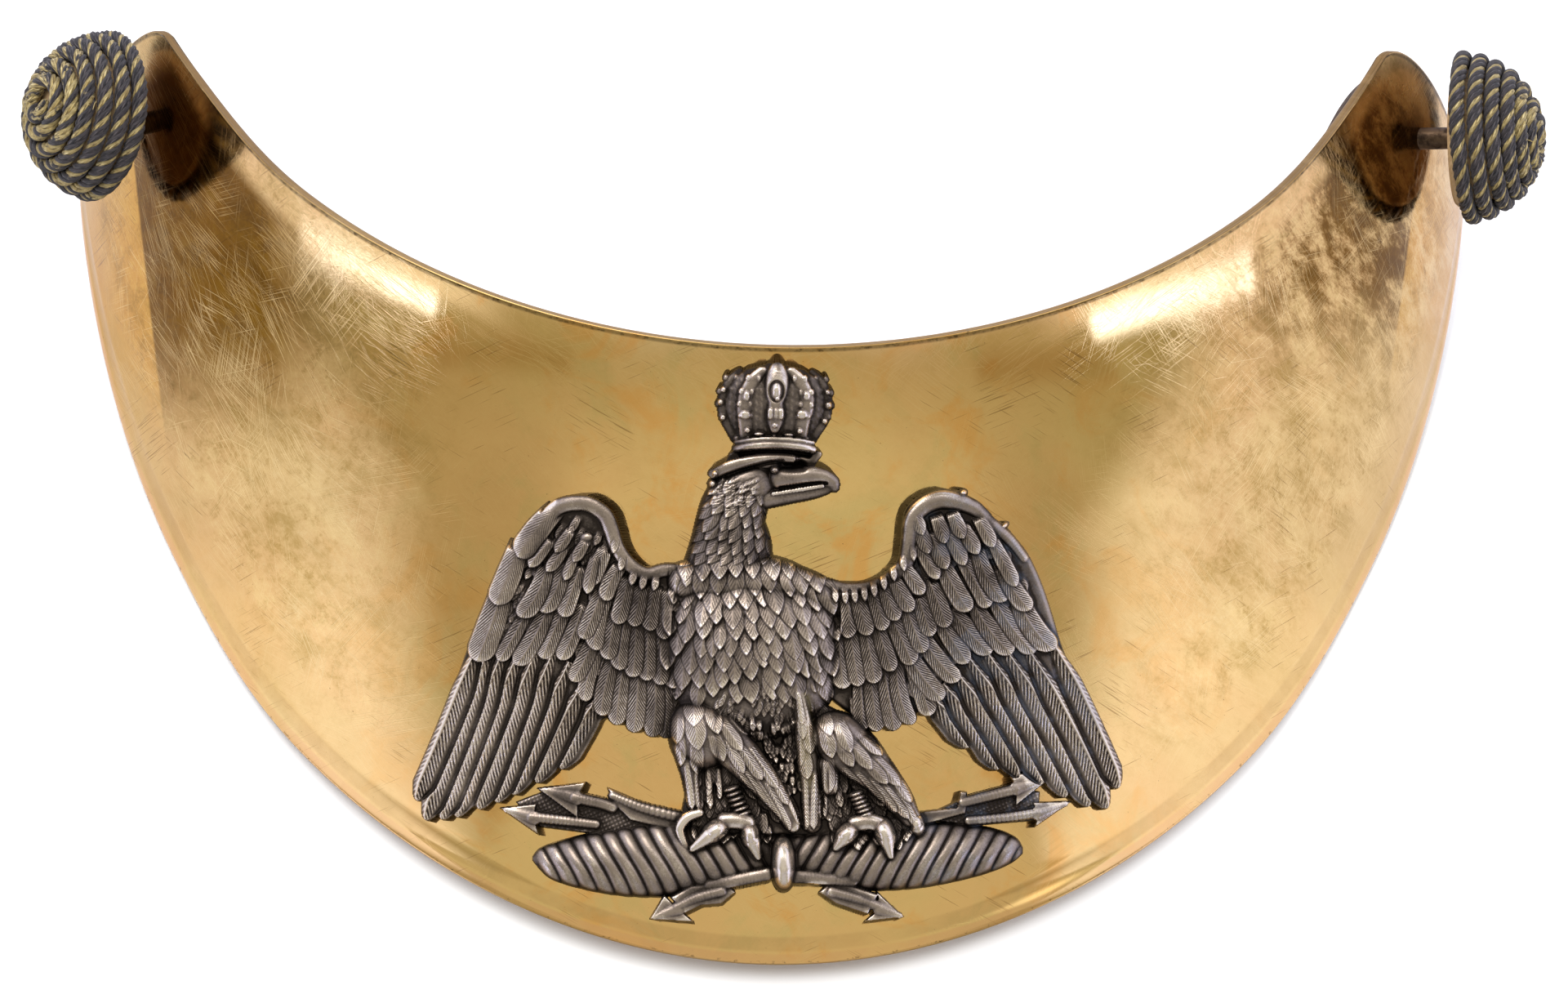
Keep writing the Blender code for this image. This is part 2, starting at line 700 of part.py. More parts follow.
def make_post(parts):
    """Headed post: shank from inside the core, head behind the plate."""
    tail = -(BUTTON_STANDOFF + PLATE_WALL + POST_HEAD_GAP)
    profile = (
        (0.0, POST_DEPTH_IN_CORE),
        (POST_RADIUS, POST_DEPTH_IN_CORE),
        (POST_RADIUS, tail),
        (POST_HEAD_RADIUS, tail),
        (POST_HEAD_RADIUS, tail - POST_HEAD_THICKNESS),
        (0.0, tail - POST_HEAD_THICKNESS),
    )
    return turned_piece("button_post", profile, POST_SEGMENTS, parts)


def make_buttons(parts):
    for side, around, up, direction, radius in BUTTONS:
        facing = Vector(direction).normalized()
        base = plate_front(around, up) + facing * BUTTON_STANDOFF
        frame = facing_frame(base, facing)
        pieces = (
            (make_core(radius, parts), "button_core"),
            (make_cord(radius, parts), "button_cord"),
            (make_post(parts), "button_post"),
        )
        for piece, kind in pieces:
            piece.matrix_world = frame
            finish_node(piece, kind + "_" + side, kind, parts)


def drill_plate(plate, cutters):
    """Holes in the horns for the button posts, and behind the badge for its pegs."""
    drills = []
    for side, around, up, direction, radius in BUTTONS:
        frame = facing_frame(plate_front(around, up), direction)
        drills.append(("post_hole_" + side, frame, POST_RADIUS + HOLE_CLEARANCE))
    for number, (across, up) in enumerate(PEG_PLACES):
        front = badge_to_plate(across, up, 0.0)
        behind = badge_to_plate(across, up, -PEG_LENGTH)
        frame = facing_frame(front, front - behind)
        drills.append(("peg_hole_" + str(number), frame, PEG_RADIUS + HOLE_CLEARANCE))
    for name, frame, radius in drills:
        bpy.ops.mesh.primitive_cylinder_add(
            vertices=POST_SEGMENTS, radius=radius, depth=DRILL_LENGTH)
        drill = bpy.context.object
        drill.name = name
        drill.matrix_world = frame
        move_to(cutters, drill)
        drill.hide_render = True
        drill.display_type = "WIRE"
        hole = plate.modifiers.new(name, "BOOLEAN")
        hole.operation = "DIFFERENCE"
        hole.solver = "EXACT"
        hole.object = drill


# ---------------------------------------------------------------- resting pose

def resting_tilt(plate):
    """Tilt about X at which the plate's middle stands lowest over what it stands on."""
    points = np.array([vert.co for vert in plate.data.vertices])
    middle = points.mean(axis=0)
    best_tilt = 0.0
    best_height = math.inf
    for step in range(TILT_STEPS):
        tilt = TILT_LEAST + (TILT_MOST - TILT_LEAST) * step / TILT_STEPS
        level = points[:, 1] * math.sin(tilt) + points[:, 2] * math.cos(tilt)
        height = middle[1] * math.sin(tilt) + middle[2] * math.cos(tilt) - level.min()
        if height < best_height:
            best_height = height
            best_tilt = tilt
    return best_tilt


def lay_down(parts, tilt):
    """Hang every piece on one empty, tilt it, and stand the whole on the origin."""
    pose = bpy.data.objects.new("resting_pose", None)
    bpy.context.scene.collection.objects.link(pose)
    for piece in parts.objects:
        piece.parent = pose
    for obj in bpy.data.collections["cutters"].objects:
        obj.parent = pose
    pose.rotation_euler = (tilt, 0.0, 0.0)
    bpy.context.view_layer.update()
    corners = []
    for piece in parts.objects:
        mesh = evaluated_mesh(piece)
        corners += [piece.matrix_world @ vert.co for vert in mesh.vertices]
        bpy.data.meshes.remove(mesh)
    lowest = [min(corner[axis] for corner in corners) for axis in range(3)]
    highest = [max(corner[axis] for corner in corners) for axis in range(3)]
    middle = [(low + high) / 2 for low, high in zip(lowest, highest)]
    pose.location = (-middle[0], -middle[1], -lowest[2])


def main():
    parts, cutters = start_scene()
    plate = make_plate(parts)
    tilt = resting_tilt(plate)
    finish_node(plate, "gorget_plate", "gorget_plate", parts)
    drill_plate(plate, cutters)
    lining = make_lining(parts)
    finish_node(lining, "leather_lining", "leather_lining", parts)
    badge = make_badge(parts, cutters)
    finish_node(badge, "eagle_badge", "eagle_badge", parts)
    make_buttons(parts)
    lay_down(parts, tilt)


main()
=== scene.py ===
"""Looks of the officer's gorget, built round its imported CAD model.

The plate, badge, cords and lining are made in the wearing frame, in millimetres (X to the
right, Y up the plate, Z outwards), with the CAD model's own formulas, and then laid down.
"""

import math

import bpy
import numpy as np
from mathutils import Matrix, Vector


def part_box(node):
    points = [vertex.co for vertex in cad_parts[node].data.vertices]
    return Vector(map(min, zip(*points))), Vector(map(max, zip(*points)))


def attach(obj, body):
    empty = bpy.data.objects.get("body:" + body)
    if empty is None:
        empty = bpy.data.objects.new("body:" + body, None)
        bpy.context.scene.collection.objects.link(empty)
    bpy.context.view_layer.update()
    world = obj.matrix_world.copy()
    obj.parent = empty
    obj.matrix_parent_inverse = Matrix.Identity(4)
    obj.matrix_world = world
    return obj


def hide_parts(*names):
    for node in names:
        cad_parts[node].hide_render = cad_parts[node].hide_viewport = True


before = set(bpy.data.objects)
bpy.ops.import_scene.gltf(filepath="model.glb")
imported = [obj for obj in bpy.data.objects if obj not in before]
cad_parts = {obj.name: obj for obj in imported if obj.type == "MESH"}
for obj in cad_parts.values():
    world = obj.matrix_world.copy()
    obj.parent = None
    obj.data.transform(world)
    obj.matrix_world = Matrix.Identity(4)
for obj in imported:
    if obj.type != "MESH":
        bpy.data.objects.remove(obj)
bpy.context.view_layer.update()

MM = 0.001
RNG = np.random.default_rng(11)

# ---------------------------------------------------------------- CAD dimensions, millimetres

WRAP_RADIUS = 71.4
PLATE_WALL = 1.0
NECK_END = np.array((71.4, 30.0))
NECK_END_WAY = np.array((math.cos(math.radians(40.0)), math.sin(math.radians(40.0))))
NECK_MIDDLE_ROUNDNESS = 29.3
NECK_END_ROUNDNESS = 22.6
HORN_SHOULDER = np.array((95.6, 14.9))
PLATE_DROP = 60.5
BOTTOM_ROUNDNESS = 50.0
SIDE_ROUNDNESS = 7.0
TIP_ROUNDNESS = 5.4
HORN_ROUNDNESS = 8.0
HORN_BLEND_POWER = 6
LEFT_HORN_TRIM = 1.3
NECK_FLARE_ARC = 80.0
NECK_FLARE = 3.0
NECK_FLARE_REACH = 22.0
EDGE_FLARE = 1.5
EDGE_FLARE_REACH = 25.0
EDGE_CENTRE_UP = 15.0
EDGE_ROUND_POWER = 1.6
HORN_FLARE_SHARE = 0.20
HORN_FADE_START = 50.0
HORN_FADE_END = 70.0
BADGE_CENTRE = (-0.4, -30.4)
BADGE_GAP = 0.35
BUTTONS = (
    # side, foot around, foot up, facing direction, radius
    ("left", -77.9, 21.4, (-0.86, 0.17, 0.49), 8.6),
    ("right", 80.4, 22.1, (0.97, 0.03, 0.17), 8.7),
)
BUTTON_STANDOFF = 3.4
CORD_DIAMETER = 1.50
CORD_PITCH = 1.74
CORD_GAP = 0.3
CORE_SKIRT = 0.4
POST_RADIUS = 1.1
POST_DEPTH_IN_CORE = 3.5
POST_HEAD_RADIUS = 2.6
POST_HEAD_THICKNESS = 0.8
POST_HEAD_GAP = 1.3
TILT = math.radians(37.49)


# ---------------------------------------------------------------- the plate's surface

def bezier(start, start_handle, end_handle, end, t):
    t = np.asarray(t, float)[..., None]
    back = 1.0 - t
    return (start * back ** 3 + start_handle * 3 * back ** 2 * t
            + end_handle * 3 * back * t ** 2 + end * t ** 3)


def smooth_step(value, start, end):
    share = np.clip((value - start) / (end - start), 0.0, 1.0)
    return share * share * (3.0 - 2.0 * share)


def neck_edge(share):
    return bezier(np.zeros(2), np.array((NECK_MIDDLE_ROUNDNESS, 0.0)),
                  NECK_END - NECK_END_WAY * NECK_END_ROUNDNESS, NECK_END, share)


def lower_edge(share):
    return bezier(np.array((0.0, -PLATE_DROP)), np.array((BOTTOM_ROUNDNESS, -PLATE_DROP)),
                  HORN_SHOULDER - np.array((0.0, SIDE_ROUNDNESS)), HORN_SHOULDER, share)


def horn_end(across):
    return bezier(NECK_END, NECK_END + NECK_END_WAY * TIP_ROUNDNESS,
                  HORN_SHOULDER + np.array((0.0, HORN_ROUNDNESS)), HORN_SHOULDER, across)


def crescent_point(along, across):
    """Around and up of points of the unrolled crescent, across from the neck edge down."""
    share = np.abs(along)
    blend = share ** HORN_BLEND_POWER
    across_2 = np.asarray(across, float)[..., None]
    neck = neck_edge(share)
    point = neck + (lower_edge(share) - neck) * across_2
    straight_end = NECK_END + (HORN_SHOULDER - NECK_END) * across_2
    point = point + (horn_end(across) - straight_end) * blend[..., None]
    around = point[..., 0] + np.where(along < 0.0, LEFT_HORN_TRIM * (1.0 - across) * blend, 0.0)
    return np.copysign(around, along), point[..., 1]


def outward_lift(around, up):
    neck_gap = np.hypot(around, NECK_FLARE_ARC - up) - NECK_FLARE_ARC
    neck_share = np.maximum(0.0, 1.0 - neck_gap / NECK_FLARE_REACH)
    fade = smooth_step(np.abs(around), HORN_FADE_START, HORN_FADE_END)
    neck_height = NECK_FLARE * (1.0 - (1.0 - HORN_FLARE_SHARE) * fade)
    reach = PLATE_DROP + EDGE_CENTRE_UP
    sideways = (np.abs(around) / HORN_SHOULDER[0]) ** EDGE_ROUND_POWER
    downward = (np.maximum(0.0, EDGE_CENTRE_UP - up) / reach) ** EDGE_ROUND_POWER
    ring = (sideways + downward) ** (1.0 / EDGE_ROUND_POWER)
    edge_gap = np.maximum(0.0, (1.0 - ring) * reach)
    edge_share = np.maximum(0.0, 1.0 - edge_gap / EDGE_FLARE_REACH)
    return neck_height * neck_share ** 2 + EDGE_FLARE * (1.0 - fade) * edge_share ** 2


def plate_front(around, up):
    around, up = np.broadcast_arrays(np.asarray(around, float), np.asarray(up, float))
    angle = around / WRAP_RADIUS
    radius = WRAP_RADIUS + outward_lift(around, up)
    return np.stack((radius * np.sin(angle), up, radius * np.cos(angle) - WRAP_RADIUS), -1)


def unit(vectors):
    vectors = np.asarray(vectors, float)
    return vectors / np.maximum(np.linalg.norm(vectors, axis=-1, keepdims=True), 1e-12)


def plate_normal(around, up):
    step = 0.1
    across = plate_front(around + step, up) - plate_front(around - step, up)
    rise = plate_front(around, up + step) - plate_front(around, up - step)
    return unit(np.cross(across, rise))


def above_plate(around, up, height):
    return plate_front(around, up) + plate_normal(around, up) * np.asarray(height)[..., None]


def badge_to_plate(across, up, height):
    """Lay points of the badge's flat plane on the plate, their height straight outwards."""
    sideways = across + BADGE_CENTRE[0]
    level = up + BADGE_CENTRE[1]
    around = sideways
    for _ in range(4):
        radius = WRAP_RADIUS + outward_lift(around, level)
        around = WRAP_RADIUS * np.arcsin(sideways / radius)
    point = plate_front(around, level)
    gap = BADGE_GAP / plate_normal(around, level)[..., 2]
    point[..., 2] += gap + height
    return point


# ---------------------------------------------------------------- laying the object down

LAY_DOWN = np.array(Matrix.Rotation(TILT, 3, "X"))


def find_place():
    """Where the wearing frame's origin lies, from the CAD plate's own box."""
    around, up = crescent_point(*np.meshgrid(np.linspace(-1, 1, 400), np.linspace(0, 1, 80)))
    front = above_plate(around, up, np.zeros_like(around)).reshape(-1, 3)
    back = above_plate(around, up, np.full_like(around, -PLATE_WALL)).reshape(-1, 3)
    points = np.concatenate((front, back)) @ LAY_DOWN.T
    low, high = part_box("gorget_plate")
    middle = (np.array(low) + np.array(high)) / 2 / MM
    place = middle - (points.min(0) + points.max(0)) / 2
    place[2] = low.z / MM - points[:, 2].min()
    return place


PLACE = find_place()


def to_world(points):
    return (np.asarray(points, float) @ LAY_DOWN.T + PLACE) * MM


def new_object(name, data):
    obj = bpy.data.objects.new(name, data)
    bpy.context.scene.collection.objects.link(obj)
    return obj


def make_piece(name, points, faces, material, node, values=None, normals=None):
    """A mesh piece from points in the wearing frame; values are point attributes."""
    points = np.asarray(points, float).reshape(-1, 3)
    faces = np.asarray(faces, np.int32)
    mesh = bpy.data.meshes.new(name)
    mesh.vertices.add(len(points))
    mesh.vertices.foreach_set("co", to_world(points).astype(np.float32).ravel())
    mesh.loops.add(faces.size)
    mesh.loops.foreach_set("vertex_index", faces.ravel())
    mesh.polygons.add(len(faces))
    starts = np.arange(len(faces), dtype=np.int32) * faces.shape[1]
    mesh.polygons.foreach_set("loop_start", starts)
    mesh.update(calc_edges=True)
    mesh.polygons.foreach_set("use_smooth", np.ones(len(faces), bool))
    for key, value in (values or {}).items():
        value = np.asarray(value, np.float32)
        kind, field = ("FLOAT_VECTOR", "vector") if value.ndim == 2 else ("FLOAT", "value")
        layer = mesh.attributes.new(key, kind, "POINT")
        layer.data.foreach_set(field, value.ravel())
    if normals is not None:
        mesh.normals_split_custom_set_from_vertices((normals @ LAY_DOWN.T).tolist())
    mesh.materials.append(material)
    obj = new_object(name, mesh)
    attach(obj, "root")
    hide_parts(node)
    return obj


def grid_quads(columns, rows, first=0):
    """Quads of a grid whose points run row after row."""
    row, column = np.meshgrid(np.arange(rows - 1), np.arange(columns - 1), indexing="ij")
    corner = (first + row * columns + column).ravel()
    return np.stack((corner, corner + columns, corner + columns + 1, corner + 1), -1)


def smooth_line(points, per_span, closed=False):
    """Points along a smooth curve through the given ones, of any number of values each."""
    knots = np.asarray(points, float)
    count = len(knots)
    made = []
    t = (np.arange(per_span) / per_span)[:, None]
    for index in range(count if closed else count - 1):
        near = np.arange(index - 1, index + 3)
        a, b, c, d = knots[near % count if closed else np.clip(near, 0, count - 1)]
        made.append(0.5 * (2 * b + (c - a) * t + (2 * a - 5 * b + 4 * c - d) * t ** 2
                           + (3 * b - a - 3 * c + d) * t ** 3))
    if not closed:
        made.append(knots[-1:])
    return np.concatenate(made)


# ---------------------------------------------------------------- shader helpers

class Signal:
    """A node's output, which can be added to, taken from and multiplied by another."""

    def __init__(self, nodes, socket):
        self.nodes = nodes
        self.socket = socket

    def __add__(self, other):
        return self.nodes.math("ADD", self, other)

    def __sub__(self, other):
        return self.nodes.math("SUBTRACT", self, other)

    def __rsub__(self, other):
        return self.nodes.math("SUBTRACT", other, self)

    def __mul__(self, other):
        return self.nodes.math("MULTIPLY", self, other)


class Nodes:
    """Short ways to add nodes to a tree."""

    def __init__(self, tree):
        self.tree = tree

    def put(self, kind, inputs=(), output=0, **settings):
        made = self.tree.nodes.new("ShaderNode" + kind)
        for key, value in settings.items():
            setattr(made, key, value)
        for key, value in dict(inputs).items():
            self.feed(made.inputs[key], value)
        return Signal(self, made.outputs[output])

    def feed(self, target, value):
        if isinstance(value, Signal):
            self.tree.links.new(value.socket, target)
        elif isinstance(value, (tuple, list)) and target.type == "RGBA":
            target.default_value = (*value, 1.0)
        else:
            target.default_value = value

    def math(self, operation, *values, clamp=False):
        return self.put("Math", dict(enumerate(values)), operation=operation, use_clamp=clamp)

    def attribute(self, name, output="Fac"):
        return self.put("Attribute", output=output, attribute_name=name)

    def axis(self, vector, index):
        return self.put("SeparateXYZ", {"Vector": vector}, index)

    def mix(self, share, a, b, blend="MIX"):
        """Colours only: a where the share is 0, b where it is 1."""
        return self.put("Mix", {0: share, 6: a, 7: b}, 2, data_type="RGBA", blend_type=blend)

    def cover(self, colour, *layers):
        """The colour with layers of (share, colour) over it."""
        for share, layer in layers:
            colour = self.mix(share, colour, layer)
        return colour

    def steps(self, value, low, high, out_low=0.0, out_high=1.0):
        """Soft step from out_low at low to out_high at high."""
        return self.put("MapRange", dict(enumerate((value, low, high, out_low, out_high))),
                        interpolation_type="SMOOTHSTEP")

    def mapped(self, vector, scale=(1, 1, 1), turn=0.0, shift=(0, 0, 0)):
        inputs = {"Vector": vector, "Scale": tuple(1.0 / size for size in scale),
                  "Location": shift, "Rotation": (0.0, 0.0, turn)}
        return self.put("Mapping", inputs, vector_type="TEXTURE")

    def noise(self, vector, scale, detail=2.0, roughness=0.5, distortion=0.0):
        return self.put("TexNoise", {"Vector": vector, "Scale": scale, "Detail": detail,
                                     "Roughness": roughness, "Distortion": distortion})

    def millimetres(self):
        return self.mapped(self.put("TexCoord", output="Object"), (1 / MM, 1 / MM, 1 / MM))

    def scratches(self, flat, turn, shift, amount, thin=11.0, long=0.10):
        """Hairlines that run along a direction of the flat plane, 0 to 1."""
        lines = self.noise(self.mapped(flat, (long, thin, 1.0), turn, shift), 1.0, 1.0)
        where = self.noise(self.mapped(flat, (0.09, 0.09, 1.0), turn, shift), 1.0, 2.0, 0.6)
        cut = where * -0.70 + (amount + 0.35)
        return self.math("MULTIPLY", lines - cut, 14.0, clamp=True)


class Shader(Nodes):
    """A material whose Principled shader is fed by nodes."""

    def __init__(self, name):
        self.material = bpy.data.materials.new(name)
        self.material.use_nodes = True
        super().__init__(self.material.node_tree)

    def finish(self, inputs, bump=None, strength=0.3, depth=0.00005):
        surface = self.tree.nodes["Principled BSDF"]
        if bump is not None:
            inputs["Normal"] = self.put("Bump", {"Height": bump, "Strength": strength,
                                                 "Distance": depth})
        for key, value in inputs.items():
            self.feed(surface.inputs[key], value)
        return self.material


# ---------------------------------------------------------------- materials

# turn, shift and amount of each layer of hairlines on the plate
HAIRLINES = ((-0.62, (3, 8, 0), 0.695), (-1.05, (17, 2, 0), 0.705), (-0.35, (29, 13, 0), 0.705),
             (1.35, (41, 23, 0), 0.705), (0.75, (53, 37, 0), 0.730), (1.75, (61, 43, 0), 0.720),
             (-0.85, (73, 51, 0), 0.695), (0.15, (83, 11, 0), 0.740))
MIRRORED_HAIRLINES = ((0.60, (23, 5, 0), 0.680), (0.95, (47, 29, 0), 0.690))


def gilt_material():
    s = Shader("gilt_brass")
    flat = s.attribute("flat", "Vector")
    around, up = s.axis(flat, 0), s.axis(flat, 1)
    inward, neck_gap, side = map(s.attribute, ("inward", "neck_gap", "side"))
    sideways = s.math("ABSOLUTE", around)
    right = s.steps(around, -2.0, 2.0)

    # The clean metal, with greenish and orange clouds near the middle
    broad = s.noise(flat, 0.045, 3.0, 0.55, 0.6)
    cloud = s.noise(s.mapped(flat, shift=(40, 7, 0)), 0.10, 7.0, 0.66, 0.6)
    mottle = s.noise(flat, 0.32, 8.0, 0.74, 0.4)
    grit = s.noise(s.mapped(flat, shift=(9, 4, 0)), 1.6, 5.0, 0.75)
    green = s.steps(cloud, 0.50, 0.68) * s.steps(sideways, 48.0, 24.0, 0.0, 0.5)
    orange = s.noise(s.mapped(flat, shift=(11, 31, 0)), 0.11, 5.0, 0.6, 1.0)
    orange = s.steps(orange, 0.50, 0.68) * s.steps(sideways, 52.0, 20.0, 0.15, 0.75)
    colour = s.cover((0.87, 0.545, 0.215), (s.steps(broad, 0.35, 0.68), (0.85, 0.58, 0.225)),
                     (green, (0.68, 0.53, 0.20)), (orange, (0.88, 0.45, 0.12)))

    # Rubbed and stained patches, most of them on the two sides
    worn = s.steps(sideways, 30.0, 52.0) * 0.80 + 0.12
    worn = worn * s.steps(inward, 5.0, 9.0, 0.25, 1.0)
    deep = s.steps(mottle, 0.54, 0.36) * s.steps(grit, 0.68, 0.38)
    pale = s.steps(mottle, 0.50, 0.66) * s.steps(grit, 0.42, 0.60)
    patch = s.noise(s.mapped(flat, (0.7, 1.25, 1.0), -0.55, (63, 18, 0)), 0.15, 9.0, 0.76)
    speck = s.noise(s.mapped(flat, shift=(5, 90, 0)), 3.2, 3.0, 0.6)
    dots = s.steps(speck, 0.69, 0.73) * s.steps(cloud, 0.40, 0.60, 0.0, 0.75)
    colour = s.cover(colour, (deep * (worn * 0.85), (0.47, 0.285, 0.070)),
                     (pale * (worn * 0.75), (1.0, 0.72, 0.31)),
                     (s.steps(patch, 0.47, 0.66) * (worn * 0.75), (0.50, 0.31, 0.075)),
                     (s.steps(patch, 0.50, 0.34) * (worn * 0.70), (1.0, 0.715, 0.29)),
                     (dots, (0.16, 0.08, 0.03)))

    # Hairlines and a few dark cuts
    mirrored = s.put("CombineXYZ", {"X": sideways, "Y": up})
    layers = [s.scratches(flat, *layer) for layer in HAIRLINES]
    layers += [s.scratches(mirrored, *layer, 15.0, 0.06) for layer in MIRRORED_HAIRLINES]
    marks = layers[0]
    for layer in layers[1:]:
        marks = s.math("MAXIMUM", marks, layer)
    marks = marks * (worn * 0.75 + 0.20)
    cuts = s.math("MAXIMUM", s.scratches(flat, -0.5, (97, 3, 0), 0.735, 7.0, 0.2),
                  s.scratches(flat, 0.4, (31, 67, 0), 0.740, 7.0, 0.2))
    colour = s.mix(cuts * 0.6, colour, (0.30, 0.16, 0.05))

    # Painted reflections: a painted shade that darkens towards the horns, and a dark brown painted
    # reflection on each side, paler past the strip's edge and broken up on the right
    wavy = (mottle - 0.5) * 14.0 + up
    shade = s.steps(wavy, -31.0, -15.0) * s.steps(sideways, 32.0, 50.0)
    colour = s.mix(shade, colour, (0.80, 0.79, 0.80), "MULTIPLY")
    # The painted dark reflection on each side, away from the neck edge
    dark_reflection = s.steps(wavy, right * 9.0 + -14.0, right * 7.0 + 3.0) * s.steps(sideways, 42.0, 57.0)
    uneven = right * s.steps(patch, 0.40, 0.56, -0.90, 0.0) + 1.0
    dark_reflection = dark_reflection * (uneven * s.steps(neck_gap, 2.6, 5.0))
    outside = s.steps(up * -0.27 + sideways, 74.2, 74.8)
    dark_reflection_colour = s.mix(outside, (0.27, 0.185, 0.022), (0.88, 0.72, 0.34))
    colour = s.mix(dark_reflection, colour, dark_reflection_colour, "MULTIPLY")

    # Pale hairlines, real scratches with a painted glint, darkening in the border's groove, dark
    # nicks at the lower edge, a painted shadow line along the neck edge, and the sheet's darker
    # sides
    groove = s.steps(inward, 1.15, 1.5) * s.steps(inward, 2.9, 2.5)
    # The border's groove made unevenly darker
    groove_dark = groove * s.steps(cloud, 0.30, 0.66, 0.10, 0.42)
    lip = s.steps(inward, 1.2, 0.9) * s.steps(cloud, 0.30, 0.62, 0.15, 0.6)
    nicks = s.noise(flat, 1.3, 4.0, 0.7)
    # A painted shadow line just inside the neck edge
    neck_shadow_line = s.steps(neck_gap, 0.62, 0.36) * (1.0 - side)
    # The hairlines are real scratches; their paleness is a painted glint
    colour = s.cover(
        colour, (marks * s.steps(up, 20.0, 0.0, 0.30, 0.55), (0.98, 0.72, 0.33)),
        (groove_dark, (0.52, 0.32, 0.12)), (lip, (0.80, 0.45, 0.20)),
        (s.steps(inward, 0.5, 0.1) * s.steps(nicks, 0.56, 0.64, 0.0, 0.8), (0.10, 0.06, 0.03)),
        (neck_shadow_line * s.steps(nicks, 0.30, 0.55, 0.95, 0.55), (0.05, 0.03, 0.01)),
        (side * 0.85, (0.30, 0.19, 0.085)))

    rough = s.steps(cloud, 0.45, 0.7, 0.035, 0.080)
    dull = s.steps(up, 20.0, 30.0) * s.steps(cloud, 0.25, 0.60, 0.55, 1.0)
    for amount, factor in ((pale * worn, 0.10), (deep * worn, 0.05), (marks, 0.10),
                           (groove_dark, 0.10), (side, 0.25), (dull, 0.26)):
        rough = amount * factor + rough
    height = (mottle * worn) * 0.5 + (marks * -0.5 + grit * worn)
    return s.finish({"Base Color": colour, "Metallic": 1.0, "Roughness": rough}, height, 0.12)


def silver_material():
    s = Shader("silver")
    place = s.millimetres()
    wear, tint, darkening, fur = map(s.attribute, ("wear", "tint", "darkening", "fur"))
    barbs = s.math("SINE", s.attribute("stroke") * (2 * math.pi))
    grain = s.noise(place, 5.0, 5.0, 0.65)
    cloud = s.noise(place, 0.35, 4.0, 0.6)
    broken = s.steps(s.noise(place, 1.8, 3.0, 0.6), 0.36, 0.56, 0.25, 1.0)
    lines = (barbs * fur) * broken
    shown = (cloud - 0.52) * 0.62 + ((grain - 0.5) * 0.40 + wear)
    shown = darkening * -0.30 + (lines * 0.27 + shown)
    dark = s.mix(s.steps(shown, 0.02, 0.36), (0.030, 0.023, 0.019), (0.135, 0.108, 0.092))
    colour = s.cover(dark, (s.steps(shown, 0.32, 0.62), (0.335, 0.27, 0.226)),
                     (s.steps(shown, 0.60, 0.95), (0.80, 0.695, 0.60)))
    blue = s.steps(tint, 0.1, 0.9) * s.steps(cloud, 0.46, 0.62, 0.0, 0.55)
    colour = s.mix(blue, colour, s.mix(0.5, colour, (0.10, 0.14, 0.21)))
    warm = s.steps(tint, -0.1, -0.9) * 0.55
    colour = s.mix(warm, colour, s.mix(0.5, colour, (0.46, 0.38, 0.18)))
    rough = s.steps(shown, 0.2, 0.9, 0.46, 0.21)
    height = lines * 1.1 + (s.noise(place, 9.0, 3.0, 0.6) * 0.35 + grain)
    return s.finish({"Base Color": colour, "Metallic": 0.95, "Roughness": rough}, height, 0.32)


def cord_material():
    s = Shader("twisted_cord")
    gold, around, lengthwise = map(s.attribute, ("gold", "wrap", "run"))
    slanted = lengthwise * 0.30 + around
    yarn = s.math("SINE", slanted * (2 * math.pi * 5))
    fibre = s.put("CombineXYZ", {0: lengthwise * 1.1, 1: slanted * 14.0})
    threads = yarn * 0.16 + s.noise(fibre, 1.0, 4.0, 0.7)
    cloud = s.noise(s.millimetres(), 1.4, 4.0, 0.6)
    dark = s.cover((0.006, 0.006, 0.010), (s.steps(cloud, 0.35, 0.65), (0.026, 0.020, 0.024)),
                   (s.steps(threads, 0.50, 0.76), (0.105, 0.090, 0.095)))
    yellow = s.cover((0.36, 0.26, 0.09), (s.steps(cloud, 0.35, 0.68), (0.58, 0.46, 0.20)),
                     (s.steps(threads, 0.28, 0.52, 0.85, 0.0), (0.08, 0.055, 0.03)),
                     (s.steps(threads, 0.60, 0.80, 0.0, 0.7), (0.84, 0.74, 0.46)))
    share = s.steps((cloud - 0.5) * 0.9 + gold, 0.42, 0.58)
    return s.finish({"Base Color": s.mix(share, dark, yellow), "Metallic": share * 0.35,
                     "Roughness": s.steps(share, 0.0, 1.0, 0.66, 0.46), "Sheen Weight": 0.08},
                    threads, 0.7, 0.00012)


def leather_material():
    s = Shader("leather")
    place = s.millimetres()
    cells = s.put("TexVoronoi", {"Vector": place, "Scale": 1.8}, feature="DISTANCE_TO_EDGE")
    cloud = s.noise(place, 0.12, 5.0, 0.6)
    fine = s.noise(place, 3.0, 4.0, 0.6)
    colour = s.cover((0.040, 0.024, 0.016), (s.steps(cloud, 0.35, 0.70), (0.105, 0.062, 0.038)),
                     (s.steps(fine, 0.55, 0.75, 0.0, 0.5), (0.16, 0.10, 0.065)),
                     (s.attribute("thread"), (0.30, 0.22, 0.12)))
    height = s.steps(cells, 0.0, 0.12) * 0.7 + fine
    return s.finish({"Base Color": colour, "Roughness": s.steps(cloud, 0.3, 0.7, 0.52, 0.72)},
                    height, 0.5, 0.0001)


def brass_material():
    s = Shader("post_brass")
    place = s.millimetres()
    cloud = s.noise(place, 0.8, 5.0, 0.65)
    fine = s.noise(s.mapped(place, (1.0, 1.0, 8.0)), 2.0, 3.0, 0.6)
    # Near black: painted shade, as the pin stands in the button's shadow
    colour = s.mix(s.steps(cloud, 0.4, 0.65), (0.13, 0.085, 0.055), (0.045, 0.030, 0.022))
    return s.finish({"Base Color": colour, "Metallic": 1.0,
                     "Roughness": s.steps(cloud, 0.3, 0.7, 0.38, 0.60)}, fine, 0.2)


